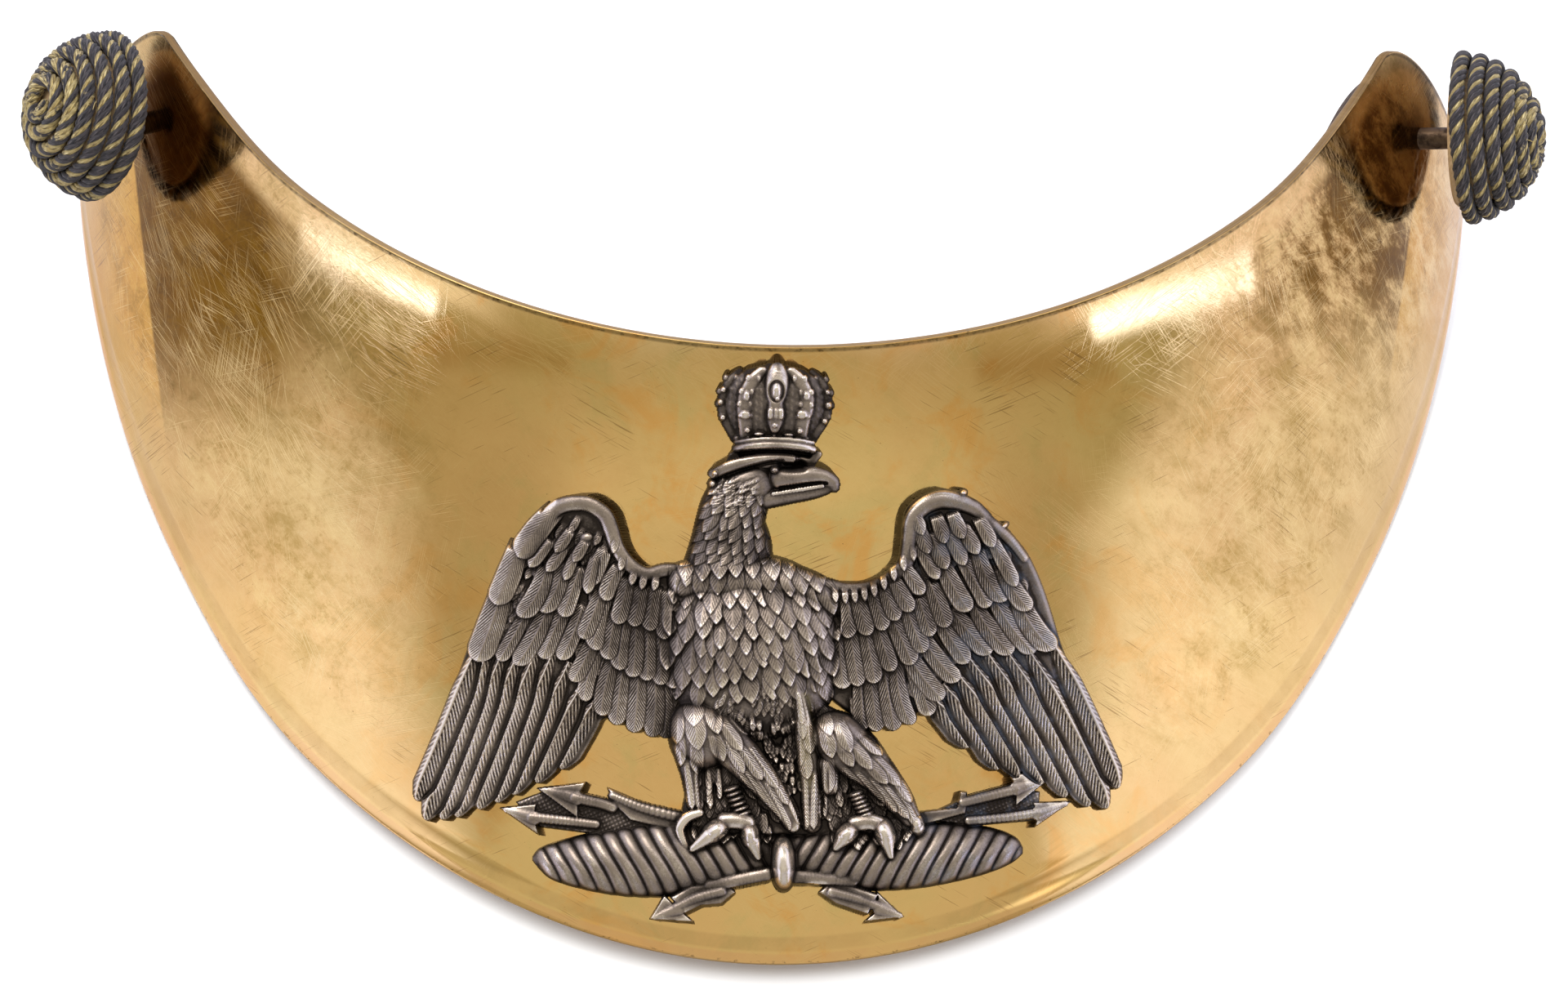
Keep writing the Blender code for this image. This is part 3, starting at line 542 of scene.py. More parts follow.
def mould_material():
    s = Shader("button_mould")
    rings = s.noise(s.mapped(s.millimetres(), (0.4, 3.0, 0.4)), 1.0, 5.0, 0.6, 0.4)
    colour = s.mix(s.steps(rings, 0.35, 0.65), (0.36, 0.23, 0.12), (0.50, 0.34, 0.18))
    return s.finish({"Base Color": colour, "Roughness": s.steps(rings, 0.3, 0.7, 0.85, 0.62)},
                    rings, 0.4)


# ---------------------------------------------------------------- plate

BORDER_INWARD = (0.0, 0.4, 1.1, 1.5, 2.5, 3.0, 3.5)
BORDER_HEIGHT = (-0.10, 0.15, 0.15, -0.12, -0.12, 0.12, 0.0)
BORDER_SHARE = 0.24
BORDER_SOFTNESS = 0.3
BORDER_FADE_START = 0.8
PLATE_COLUMNS = 280
PLATE_CROWDING = 1.12
FIELD_ROWS = 46
# Rows at these gaps from the neck edge, and from the lower edge
NECK_ROWS = (0.0, 0.3, 0.45, 0.7, 1.2, 2.0)
EDGE_ROWS = (4.2, 3.7, 3.4, 3.15, 2.9, 2.65, 2.45, 2.1, 1.8, 1.55, 1.35, 1.15, 0.9, 0.6,
             0.4, 0.2, 0.0)
RIM_ROUNDING = 0.15
RIM_PROFILE = (
    # outward past the front's edge, depth behind the front
    (0.10, 0.05), (0.15, 0.16), (0.15, 0.24), (0.03, 0.30), (0.03, 0.35), (0.15, 0.41),
    (0.15, 0.84), (0.10, 0.95),
)
HORN_END_REACH = 60.0
FAR_FROM_EDGE = 9.0


def plate_width(along):
    """From the neck edge to the lower edge, at places along the crescent."""
    share = np.abs(along)
    return np.linalg.norm(lower_edge(share) - neck_edge(share), axis=-1)


def crowded(count, power):
    """Places from -1 to 1 that stand closer together at the ends."""
    even = np.linspace(-1, 1, count)
    return np.sign(even) * (1 - (1 - np.abs(even)) ** power)


def border_height(inward):
    """Softened height of the pressed border."""
    shifts = np.linspace(-BORDER_SOFTNESS, BORDER_SOFTNESS, 7)
    height = sum(np.interp(inward + s, BORDER_INWARD, BORDER_HEIGHT) for s in shifts)
    return BORDER_SHARE * height / len(shifts)


def make_plate():
    along = crowded(PLATE_COLUMNS + 1, PLATE_CROWDING)
    width = plate_width(along)
    field_width = width - NECK_ROWS[-1] - EDGE_ROWS[0]
    across = np.array(
        [gap / width for gap in NECK_ROWS]
        + [(NECK_ROWS[-1] + field_width * k / FIELD_ROWS) / width for k in range(1, FIELD_ROWS)]
        + [1.0 - gap / width for gap in EDGE_ROWS])
    along = np.broadcast_to(along, across.shape)
    rows, columns = across.shape
    around, up = crescent_point(along, across)
    inward = (1.0 - across) * width
    fade = 1.0 - smooth_step(np.abs(along), BORDER_FADE_START, 1.0)
    front = above_plate(around, up, border_height(inward) * fade)
    normal = plate_normal(around, up)
    back = front - normal * PLATE_WALL

    # The sheet's edge: both faces stop short of it, and a rounded rim joins them
    last = rows - 1
    loop = ([(last, c) for c in range(columns)]
            + [(r, columns - 1) for r in range(last - 1, -1, -1)]
            + [(0, c) for c in range(columns - 2, -1, -1)] + [(r, 0) for r in range(1, last)])
    edge = tuple(np.array(loop).T)
    ring, ring_normal = front[edge], normal[edge]
    ahead = unit(np.roll(ring, -1, 0) - np.roll(ring, 1, 0))
    outward = unit(np.cross(ahead, ring_normal))
    front[edge] = ring - outward * RIM_ROUNDING
    back[edge] = ring - outward * RIM_ROUNDING - ring_normal * PLATE_WALL
    count = rows * columns
    faces = [grid_quads(columns, rows), grid_quads(columns, rows, count)[:, ::-1]]
    points = [front.reshape(-1, 3), back.reshape(-1, 3)]
    strip = edge[0] * columns + edge[1]
    rings = [strip]
    made = 2 * count
    for out, depth in RIM_PROFILE:
        points.append(ring + outward * (out - RIM_ROUNDING) - ring_normal * depth)
        rings.append(np.arange(made, made + len(ring)))
        made += len(ring)
    rings.append(strip + count)
    for upper, lower in zip(rings, rings[1:]):
        faces.append(np.stack((upper, np.roll(upper, -1), np.roll(lower, -1), lower), -1)[:, ::-1])

    rim_count = made - 2 * count
    flat = np.stack((around, up, np.zeros_like(up)), -1).reshape(-1, 3)
    neck_gap = np.minimum(across * width, (1 - np.abs(along)) * HORN_END_REACH).ravel()
    values = {
        "flat": np.concatenate((flat, flat, np.tile(flat[strip], (len(RIM_PROFILE), 1)))),
        "inward": np.concatenate((inward.ravel(), inward.ravel(),
                                  np.full(rim_count, FAR_FROM_EDGE))),
        "neck_gap": np.concatenate((neck_gap, np.full(count + rim_count, FAR_FROM_EDGE))),
        "side": np.repeat((0.0, 0.5, 1.0), (count, count, rim_count)),
    }
    make_piece("gorget_plate_gilt", np.concatenate(points), np.concatenate(faces),
               gilt_material(), "gorget_plate", values)


# ---------------------------------------------------------------- lining

LINING_WALL = 1.2
LINING_GAP = 0.35
LINING_INSET = 3.6
LINING_NECK_INSET = 2.0
LINING_END = 0.80
LINING_RIGHT_NECK_END = 0.955
LINING_END_BEND = 0.5
LINING_PROUD = 0.9
LINING_FLUSH_START = 0.78
LINING_FLUSH_FULL = 0.95
LINING_CORNER_POWER = 14
LINING_CORNER_SHARE = 0.25
LINING_COLUMNS = 260
LINING_CROWDING = 1.3
# Rows at these gaps from each long edge, and how many stand between them
LINING_ROWS = (0.0, 0.15, 0.35, 0.7, 1.1, 1.3, 1.42, 1.54, 1.66, 1.78, 1.9, 2.2, 2.8)
LINING_MIDDLE_ROWS = 16
LINING_SHORT_EDGE = 70.0
LINING_LEAST_WIDTH = 9.0
# Past this share of the length the seam runs up the short edge
SEAM_CORNER = 0.97
EDGE_ROUNDING = 0.35
EDGE_ROUNDING_REACH = 0.25
STITCH_INSET = 1.6
STITCH_LENGTH = 2.1
STITCH_SHARE = 0.33
STITCH_HALF_WIDTH = 0.28
STITCH_HEIGHT = 0.22
SEAM_DEPTH = 0.20
SEAM_WIDTH = 0.35
PADDING = 0.16
PADDING_REACH = 2.5


def make_lining():
    columns, rows = LINING_COLUMNS, 2 * len(LINING_ROWS) + LINING_MIDDLE_ROWS
    place = crowded(columns, LINING_CROWDING)
    leather_width = np.maximum(plate_width(place) - LINING_INSET - 1.0,
                               LINING_LEAST_WIDTH)
    near = np.array(LINING_ROWS)[:, None] / leather_width
    between = np.linspace(0, 1, LINING_MIDDLE_ROWS + 2)[1:-1, None]
    middle = near[-1] + (1.0 - 2.0 * near[-1]) * between
    share = np.concatenate((near, middle, 1.0 - near[::-1]))
    place = np.broadcast_to(place, share.shape)
    neck_end = np.where(place > 0.0, LINING_RIGHT_NECK_END, LINING_END)
    along = place * (neck_end + (LINING_END - neck_end) * share ** LINING_END_BEND)
    width = plate_width(along)
    flush = smooth_step(along, LINING_FLUSH_START, LINING_FLUSH_FULL)
    start = (LINING_NECK_INSET * (1.0 - flush) - LINING_PROUD * flush) / width
    end = 1.0 - LINING_INSET / width
    rounding = 1.0 - np.sqrt(np.maximum(0.0, 1.0 - np.abs(place) ** LINING_CORNER_POWER))
    trim = (end - start) * rounding * LINING_CORNER_SHARE
    start = start + trim
    end = end - trim
    across = start + (end - start) * share
    around, up = crescent_point(along, across)

    edge = np.minimum(np.minimum(across - start, end - across) * width,
                      (1 - np.abs(place)) * LINING_SHORT_EDGE)
    rounded = EDGE_ROUNDING * np.exp(-edge / EDGE_ROUNDING_REACH)
    seam = np.exp(-((edge - STITCH_INSET) / SEAM_WIDTH) ** 2)
    lengthwise = np.where(np.abs(place) > SEAM_CORNER, up, around)
    stitch = np.abs((lengthwise / STITCH_LENGTH) % 1.0 - 0.5) < STITCH_SHARE
    thread = stitch * (np.abs(edge - STITCH_INSET) < STITCH_HALF_WIDTH)
    puff = PADDING * smooth_step(edge, STITCH_INSET, STITCH_INSET + PADDING_REACH)
    outer = -(PLATE_WALL + LINING_GAP + LINING_WALL - rounded - SEAM_DEPTH * seam + puff - PADDING
              + STITCH_HEIGHT * thread)
    inner = -(PLATE_WALL + LINING_GAP + 0.5 * rounded)
    points = np.concatenate([above_plate(around, up, depth).reshape(-1, 3)
                             for depth in (inner, outer)])
    count = columns * rows
    top = np.arange(columns)
    first = np.arange(rows) * columns
    loop = np.concatenate((top + (rows - 1) * columns, (first + columns - 1)[::-1][1:],
                           top[::-1][1:], first[1:-1]))
    nearby = np.roll(loop, -1)
    faces = np.concatenate((
        grid_quads(columns, rows),
        grid_quads(columns, rows, count)[:, ::-1],
        np.stack((loop, nearby, nearby + count, loop + count), -1)[:, ::-1],
    ))
    values = {"thread": np.concatenate((np.zeros(count), thread.ravel().astype(float)))}
    make_piece("leather_lining_stitched", points, faces, leather_material(), "leather_lining",
               values)


# ---------------------------------------------------------------- buttons

ROPE_LAY = 4.4
STRANDS = 6
STRAND_RADIUS = 0.30
STRAND_OFFSET = 0.54
GOLD_SUNK = 0.07
TUBE_SIDES = 6
TURNED_SIDES = 48
SHARP_TURNED_EDGE = math.radians(35)
ON_AXIS = 0.001
STEPS_PER_LAY = 19
CORD_END_PITCHES = 0.52
CORD_END_TAPER = 1.2
THREAD_RADIUS = 0.075
THREAD_SUNK = 0.3
MOULD_RIM_GAP = 0.6
MOULD_BORE_GAP = 0.3
MOULD_BORE_DEPTH = 2.0
MOULD_CHAMFER = 0.3
POST_CHAMFER = 0.2
LOOSE_THREADS = {
    # round the dome, up the dome, length, lean
    "left": ((100, 38, 1.5, 0.9), (104, 40, 2.0, 0.4), (96, 42, 1.2, -0.5)),
    "right": ((80, 52, 1.0, 0.8), (95, 60, 0.9, -0.6), (262, 20, 0.8, 0.7)),
}


def facing_frame(origin, direction):
    """Turn and origin of a frame whose +Z points in the direction."""
    turn = Vector(direction).normalized().to_track_quat("Z", "Y").to_matrix()
    return np.array(turn), np.asarray(origin, float)


def ring_corners(rows, sides):
    """For the quads of a tube of rings: a corner, and the next one round."""
    row, column = np.meshgrid(np.arange(rows - 1), np.arange(sides), indexing="ij")
    return row * sides + column, row * sides + (column + 1) % sides


def square_to(vectors, ahead):
    """The part of the vectors that is square to the way ahead, as unit vectors."""
    return unit(vectors - (vectors * ahead).sum(-1, keepdims=True) * ahead)


def tube(centres, radii, outwards):
    """Points and quads of a tube along the centres."""
    ahead = unit(np.gradient(centres, axis=0))
    side = square_to(outwards, ahead)
    other = np.cross(ahead, side)
    angle = (np.arange(TUBE_SIDES) * 2 * math.pi / TUBE_SIDES)[None, :, None]
    ring = side[:, None, :] * np.cos(angle) + other[:, None, :] * np.sin(angle)
    points = centres[:, None, :] + ring * radii[:, None, None]
    a, b = ring_corners(len(centres), TUBE_SIDES)
    faces = np.stack((a, b, b + TUBE_SIDES, a + TUBE_SIDES), -1).reshape(-1, 4)
    return points.reshape(-1, 3), faces


def make_cord_piece(name, side, tubes, values, placing, material):
    """One piece of several (centres, radii, outwards) tubes in the button's own frame."""
    turn, origin = placing
    points, faces, made = [], [], 0
    for shape in tubes:
        tube_points, tube_faces = tube(*shape)
        points.append(tube_points)
        faces.append(tube_faces + made)
        made += len(tube_points)
    values = {key: np.broadcast_to(value, made) for key, value in values.items()}
    make_piece(name + side, np.concatenate(points) @ turn.T + origin, np.concatenate(faces),
               material, "button_cord_" + side, values)


def cord_path(wind, turn):
    """Even steps along the CAD cord's own spiral, its start turned to the back."""
    last_angle = math.pi / 2 - CORD_PITCH * CORD_END_PITCHES / wind
    turns = wind * last_angle / CORD_PITCH
    backward = turn.T @ np.array((0.0, 0.0, -1.0))
    fine = np.linspace(0, 1, 6000)
    rise = fine * last_angle
    swing = fine * turns * 2 * math.pi + math.atan2(backward[1], backward[0])
    path = np.stack((wind * np.cos(rise) * np.cos(swing), wind * np.cos(rise) * np.sin(swing),
                     CORE_SKIRT + wind * np.sin(rise)), -1)
    run = np.concatenate(((0.0,), np.cumsum(np.linalg.norm(np.diff(path, axis=0), axis=1))))
    at = np.linspace(0, run[-1], int(run[-1] / ROPE_LAY * STEPS_PER_LAY))
    return at, np.stack([np.interp(at, run, path[:, axis]) for axis in range(3)], -1)


def make_rope(side, turn, origin, radius, material):
    """Strands twisted along the cord, a third of them golden, the rest dark and worn."""
    at, path = cord_path(radius - CORD_DIAMETER / 2, turn)
    ahead = unit(np.gradient(path, axis=0))
    out = square_to(unit(path - np.array((0.0, 0.0, CORE_SKIRT))), ahead)
    other = np.cross(ahead, out)
    path = path + other * (0.10 * np.sin(at * 0.31 + 0.7) * np.sin(at * 0.083))[:, None]
    wobble = 1.0 + 0.05 * np.sin(at * 0.9) * np.sin(at * 0.37 + 1.0)
    from_end = np.minimum(at, at[-1] - at)
    end_taper = np.clip(from_end / CORD_END_TAPER, 0.0, 1.0) ** 0.5 * 0.9 + 0.1
    seen = path @ turn.T / radius
    corner = smooth_step(-0.8 * seen[:, 0] - 0.6 * seen[:, 1], 0.25, 0.85)
    late = smooth_step(at / at[-1], 0.52, 0.88)
    rich = np.maximum(late, 0.8 * corner) if side == "left" else 0.85 * late
    tubes, gold = [], []
    for strand in range(STRANDS):
        phase = 2 * math.pi * (at / ROPE_LAY + strand / STRANDS) + 0.30 * np.sin(at * 0.55)
        direction = out * np.cos(phase)[:, None] + other * np.sin(phase)[:, None]
        patch = 0.5 + 0.5 * np.sin(at * 0.21 + 1.9 * strand) * np.sin(at * 0.057 + strand)
        if strand % 3 == 0:
            lump = 1.0 + 0.10 * np.sin(at * 2.9 + strand) * np.sin(at * 1.3)
            offset, thick = STRAND_OFFSET - GOLD_SUNK, lump * 0.94
            shade = 0.60 + 0.4 * late + 0.25 * patch
        else:
            offset, thick = STRAND_OFFSET, 1.0
            shade = rich * (0.30 + 0.62 * patch) * (1.0 if strand % 3 == 1 else 0.55)
        tubes.append((path + direction * (offset * end_taper)[:, None],
                      STRAND_RADIUS * thick * wobble * end_taper, direction))
        gold.append(np.repeat(np.clip(shade, 0.0, 1.0), TUBE_SIDES))
    values = {"gold": np.concatenate(gold),
              "wrap": np.tile(np.arange(TUBE_SIDES) / TUBE_SIDES, len(at) * STRANDS),
              "run": np.tile(np.repeat(at, TUBE_SIDES), STRANDS)}
    make_cord_piece("button_rope_", side, tubes, values, (turn, origin), material)


def make_threads(side, turn, origin, radius, material):
    """Loose ends that stand off the cord."""
    tubes = []
    t = np.linspace(0, 1, 14)[:, None]
    for swing, rise, length, lean in LOOSE_THREADS[side]:
        swing, rise = math.radians(swing), math.radians(rise)
        out = np.array((math.cos(rise) * math.cos(swing), math.cos(rise) * math.sin(swing),
                        math.sin(rise)))
        aside = np.cross(out, (0.0, 0.0, 1.0))
        centres = (out * (radius - THREAD_SUNK) + np.array((0, 0, CORE_SKIRT))
                   + out * t * length + aside * lean * t ** 2 * length)
        tubes.append((centres, THREAD_RADIUS * (1 - 0.6 * t[:, 0]),
                      np.broadcast_to(aside, centres.shape)))
    make_cord_piece("button_threads_", side, tubes, {"gold": 0.75, "wrap": 0.0, "run": 0.0},
                    (turn, origin), material)


def turned(name, profile, turn, origin, material, node):
    """Turned piece from (radius, height) pairs that run from top to bottom outside."""
    radius, height = np.array(profile).T[..., None]
    angle = np.arange(TURNED_SIDES) * 2 * math.pi / TURNED_SIDES
    points = np.stack(np.broadcast_arrays(radius * np.cos(angle), radius * np.sin(angle), height),
                      -1)
    a, b = ring_corners(len(profile), TURNED_SIDES)
    faces = np.stack((a, a + TURNED_SIDES, b + TURNED_SIDES, b), -1).reshape(-1, 4)
    piece = make_piece(name, points.reshape(-1, 3) @ turn.T + origin, faces, material, node)
    piece.data.set_sharp_from_angle(angle=SHARP_TURNED_EDGE)


def make_buttons():
    rope, mould, brass = cord_material(), mould_material(), brass_material()
    for side, around, up, direction, radius in BUTTONS:
        facing = unit(direction)
        base = plate_front(around, up) + facing * BUTTON_STANDOFF
        turn, origin = facing_frame(base, facing)
        make_rope(side, turn, origin, radius, rope)
        dome_radius = radius - CORD_DIAMETER - CORD_GAP
        rim, bore = POST_RADIUS + MOULD_RIM_GAP, POST_RADIUS + MOULD_BORE_GAP
        profile = [(max(dome_radius * math.cos(a), ON_AXIS), CORE_SKIRT + dome_radius * math.sin(a))
                   for a in np.radians(np.linspace(90, 0, 12))]
        profile += [(dome_radius, MOULD_CHAMFER), (dome_radius - MOULD_CHAMFER, 0.0), (rim, 0.0),
                    (bore, MOULD_CHAMFER), (bore, MOULD_BORE_DEPTH), (ON_AXIS, MOULD_BORE_DEPTH)]
        turned("button_mould_" + side, profile, turn, origin, mould, "button_core_" + side)
        tail = -(BUTTON_STANDOFF + PLATE_WALL + POST_HEAD_GAP)
        last = tail - POST_HEAD_THICKNESS
        inner_radius = POST_HEAD_RADIUS - POST_CHAMFER
        post = [(ON_AXIS, POST_DEPTH_IN_CORE), (POST_RADIUS, POST_DEPTH_IN_CORE),
                (POST_RADIUS, tail), (inner_radius, tail), (POST_HEAD_RADIUS, tail - POST_CHAMFER),
                (POST_HEAD_RADIUS, last + POST_CHAMFER), (inner_radius, last), (ON_AXIS, last)]
        turned("button_pin_" + side, post, turn, origin, brass, "button_post_" + side)
        make_threads(side, turn, origin, radius, rope)


# ---------------------------------------------------------------- badge relief

GRID_STEP = 0.08
EMPTY = -0.6
GRID_X = np.arange(-36.0, 35.4, GRID_STEP)
GRID_Y = np.arange(-27.0, 29.8, GRID_STEP)
RELIEF = np.full((len(GRID_Y), len(GRID_X)), EMPTY)
STROKE = np.zeros_like(RELIEF)
FUR = np.zeros_like(RELIEF)


def window(x_low, x_high, y_low, y_high):
    """A cut of the relief's grid, and its places across and up."""
    i_low, i_high = np.searchsorted(GRID_X, (x_low, x_high))
    j_low, j_high = np.searchsorted(GRID_Y, (y_low, y_high))
    cut = (slice(j_low, j_high), slice(i_low, i_high))
    return cut, GRID_X[None, i_low:i_high], GRID_Y[j_low:j_high, None]


def window_round(points, margin):
    points = np.asarray(points, float)
    low = points.min(0) - margin
    high = points.max(0) + margin
    return window(low[0], high[0], low[1], high[1])


def cover_of(inside):
    return np.clip(inside / GRID_STEP + 0.5, 0.0, 1.0)


def lay(cut, cover, top, stroke, fur):
    RELIEF[cut] += (top - RELIEF[cut]) * cover
    STROKE[cut] = np.where(cover > 0.5, stroke, STROKE[cut])
    FUR[cut] = np.where(cover > 0.5, fur, FUR[cut])


def raise_to(cut, top, fillet):
    """Union with what is there, with a small fillet where the two meet."""
    there = RELIEF[cut]
    joined = 0.5 * (there + top + np.sqrt((there - top) ** 2 + fillet ** 2)) - 0.5 * fillet
    FUR[cut] = np.where(top > there, 0.0, FUR[cut])
    RELIEF[cut] = np.maximum(np.maximum(there, top), joined)


def inside_of(x, y, line):
    """Distance inside a closed line, negative outside it."""
    x, y = np.broadcast_arrays(x, y)
    nearest = np.full(x.shape, 1e9)
    crossings = np.zeros(x.shape, bool)
    for (ax, ay), (bx, by) in zip(line, np.roll(line, -1, 0)):
        dx, dy = bx - ax, by - ay
        share = np.clip(((x - ax) * dx + (y - ay) * dy) / (dx * dx + dy * dy + 1e-12), 0, 1)
        nearest = np.minimum(nearest, (x - ax - share * dx) ** 2 + (y - ay - share * dy) ** 2)
        if ay != by:
            spans = (ay > y) != (by > y)
            crossings ^= spans & (x < ax + (y - ay) * dx / dy)
    return np.sqrt(nearest) * np.where(crossings, 1.0, -1.0)


def slab(points, top, edge=0.3, smooth=True):
    """Raise a slab with a rounded edge; top is a height or an array over the grid."""
    line = smooth_line(points, 5, closed=True) if smooth else np.asarray(points, float)
    cut, x, y = window_round(line, 0.3)
    inside = inside_of(x, y, line)
    over = top[cut] if isinstance(top, np.ndarray) else top
    share = np.clip(inside / edge, 0.0, 1.0)
    height = over - edge * (1.0 - np.sqrt(1.0 - (1.0 - share) ** 2))
    cover = cover_of(inside)
    raise_to(cut, EMPTY + (height - EMPTY) * cover, 0.02)


def dome(centre, half, top, turn, low=0.0, power=2.0, fillet=0.10):
    """Raise an oval dome."""
    reach = max(half)
    cut, x, y = window(centre[0] - reach, centre[0] + reach, centre[1] - reach, centre[1] + reach)
    c, s = math.cos(math.radians(turn)), math.sin(math.radians(turn))
    u = ((x - centre[0]) * c + (y - centre[1]) * s) / half[0]
    v = ((y - centre[1]) * c - (x - centre[0]) * s) / half[1]
    gap = np.abs(u) ** power + np.abs(v) ** power
    height = np.where(gap < 1.0, low + (top - low) * np.sqrt(np.maximum(0.0, 1.0 - gap)), EMPTY)
    raise_to(cut, height, fillet)


def roll(knots, fillet, per_span=9, squash=1.0):
    """Raise a rounded roll through knots of (across, up, radius, top height)."""
    line = smooth_line(knots, per_span)
    cut, x, y = window_round(line[:, :2], line[:, 2].max() + 0.2)
    height = np.full(np.broadcast_shapes(x.shape, y.shape), EMPTY)
    for cx, cy, radius, top in line:
        gap = ((x - cx) ** 2 + (y - cy) ** 2) / radius ** 2
        cap = top - radius * squash * (1.0 - np.sqrt(np.maximum(0.0, 1.0 - gap)))
        height = np.maximum(height, np.where(gap < 1.0, cap, EMPTY))
    raise_to(cut, height, fillet)


def carve(knots, depth, width):
    """Press a soft groove along a line of (across, up)."""
    line = smooth_line(knots, 8)
    cut, x, y = window_round(line, width * 3)
    gap = np.full(np.broadcast_shapes(x.shape, y.shape), 1e9)
    for cx, cy in line:
        gap = np.minimum(gap, (x - cx) ** 2 + (y - cy) ** 2)
    RELIEF[cut] -= np.where(RELIEF[cut] > 0, depth * np.exp(-gap / width ** 2), 0.0)


def ripple(phase):
    """A rounded wave, 0 to 1, one for each whole number of the phase."""
    return 0.5 + 0.5 * np.cos(2 * math.pi * phase)


FEATHER_TUCK = 0.35
BARB_DEPTH = 0.032


def along_feather(root, tip, margin, bend=0.0):
    """Length from root to tip, the window round them, and places along and beside the line."""
    root, tip = np.asarray(root, float), np.asarray(tip, float)
    length = float(np.hypot(*(tip - root)))
    dx, dy = (tip - root) / length
    cut, x, y = window_round((root, tip), margin + abs(bend) * length)
    run = (x - root[0]) * dx + (y - root[1]) * dy
    side = (y - root[1]) * dx - (x - root[0]) * dy
    return length, cut, run, side


def arch(share, height):
    """0 at both ends of the share, the height in the middle."""
    share = np.clip(share, 0, 1)
    return height * 4 * share * (1 - share)


def feather(root, tip, width, base, lift, barb, shaft, sharp=0.0, bend=0.0, pitch=0.40,
            start=0.25, curl=0.10, tilt=0.0, fade=0.7):
    """Lay one feather over the relief, its barbs swept back from its shaft."""
    length, cut, run, side = along_feather(root, tip, width * 0.6, bend)
    share = run / length
    along = np.clip(share, 0, 1)
    side = side - arch(share, bend * length)
    point = min(0.95, (0.55 + 0.6 * sharp) * width / length)
    past = np.clip((share - (1.0 - point)) / point, 0.0, 1.0)
    half = width / 2 * (0.8 + 0.2 * np.clip(share * 2, 0, 1))
    half = half * np.maximum(0.0, 1.0 - past ** 2) ** (0.5 + 0.4 * sharp)
    half = np.where(share > 1.0, -(run - length), half)
    inside = np.minimum(half - np.abs(side), run + 0.1)
    off = np.clip(np.abs(side) / np.maximum(half, 0.05), 0.0, 1.0)
    top = base[cut] + lift * (start + (1 - start) * along) - curl * off ** 2 + tilt * side
    bank = np.maximum(inside, 0.0)
    top = top + 0.055 * np.exp(-((bank - 0.15) / 0.09) ** 2) - 0.10 * np.exp(-bank / 0.07)
    stroke = (run - 1.7 * np.abs(side)) / pitch + 0.35 * np.sin(run * 1.3 + side * 1.7)
    beside_shaft = smooth_step(off, 0.02, 0.2)
    fur = min(1.6, barb / BARB_DEPTH) * smooth_step(inside, 0.05, 0.25) * beside_shaft
    top = top + 0.3 * barb * np.sin(2 * math.pi * stroke) * beside_shaft
    top = top + shaft * np.exp(-(side / 0.12) ** 2) * (1.0 - 0.4 * along)
    cover = cover_of(inside) * smooth_step(run, -0.1, fade) * smooth_step(base[cut], -0.2, 0.1)
    lay(cut, cover, top, stroke, fur)


# A flight feather from its inner side (-1) to its outer side (1), and its height there
QUILL_ACROSS = (-1.0, -0.72, -0.42, 0.22, 0.34, 0.46, 0.58, 0.72, 1.0)
QUILL_LIFT = 0.5
QUILL_HEIGHT = (-0.62, -0.66, -0.42, -0.12, -0.08, 0.18, 0.18, -0.06, -0.30)


def quill(root, tip, width, base, hand):
    """A flight feather: a bright ridge along its outer side, barbs, and a smooth furrow."""
    length, cut, run, side = along_feather(root, tip, width)
    side = side * hand - arch(run / length, 0.012 * hand * length)
    taper = np.sqrt(np.clip((length - run) / (0.75 * width), 0.0, 1.0))
    taper = np.where(run > length, -1.0, taper)
    half = width / 2 * taper * (0.45 + 0.55 * smooth_step(run / length, 0.0, 0.35))
    inside = np.minimum(half - np.abs(side), run + 0.1)
    across = np.clip(side / np.maximum(half, 0.05), -1.0, 1.0)
    profile = np.interp(across, QUILL_ACROSS, QUILL_HEIGHT)
    top = base[cut] + QUILL_LIFT + profile * np.clip(half * 1.2, 0.0, 1.0)
    from_ridge = np.abs(side - 0.4 * half)
    stroke = (run - 1.6 * from_ridge) / 0.60 + 0.3 * np.sin(run * 0.9)
    fur = 1.5 * smooth_step(across, -0.55, -0.35) * smooth_step(across, 0.42, 0.30)
    fur = fur + 0.7 * smooth_step(across, 0.62, 0.72)
    top = top + 0.03 * fur * np.sin(2 * math.pi * stroke)
    lay(cut, cover_of(inside), top, stroke, fur)


def row(feathers, width, base, lean=0.0, **settings):
    """Feathers side by side, each a little unlike the next, their roots under the row above."""
    for x, y, tip_x, tip_y in feathers:
        jitter = RNG.normal(0.0, 0.06, 4)
        root = (x + (x - tip_x) * FEATHER_TUCK + jitter[0],
                y + (y - tip_y) * FEATHER_TUCK + jitter[1])
        feather(root, (tip_x, tip_y), width * (1 + jitter[2]), base, bend=jitter[3] * 0.5 + lean,
                **settings)


def thicket(outline, base, flow, count, size, lift=0.22):
    """Small feathers scattered inside an outline, that fill what the rows leave open."""
    line = np.asarray(outline, float)
    low, high = line.min(0), line.max(0)
    places = RNG.uniform(low, high, (count, 2))
    places = places[inside_of(places[:, 0], places[:, 1], line) > 0.2]
    for x, y in places[np.argsort(places[:, 1])]:
        dx, dy = flow(x)
        length = size * RNG.uniform(0.8, 1.3)
        feather((x, y), (x + dx * length, y + dy * length), size * 0.55, base, lift=lift,
                sharp=0.5, barb=0.03, shaft=0.06, start=0.1, curl=0.08)


GRID_X2, GRID_Y2 = np.broadcast_arrays(GRID_X[None, :], GRID_Y[:, None])


def covert_flow(places, turns):
    """Way the covert feathers point, from their turns at places across the wing."""
    def flow(x):
        turn = math.radians(np.interp(x, places, turns))
        return math.cos(turn), math.sin(turn)
    return flow


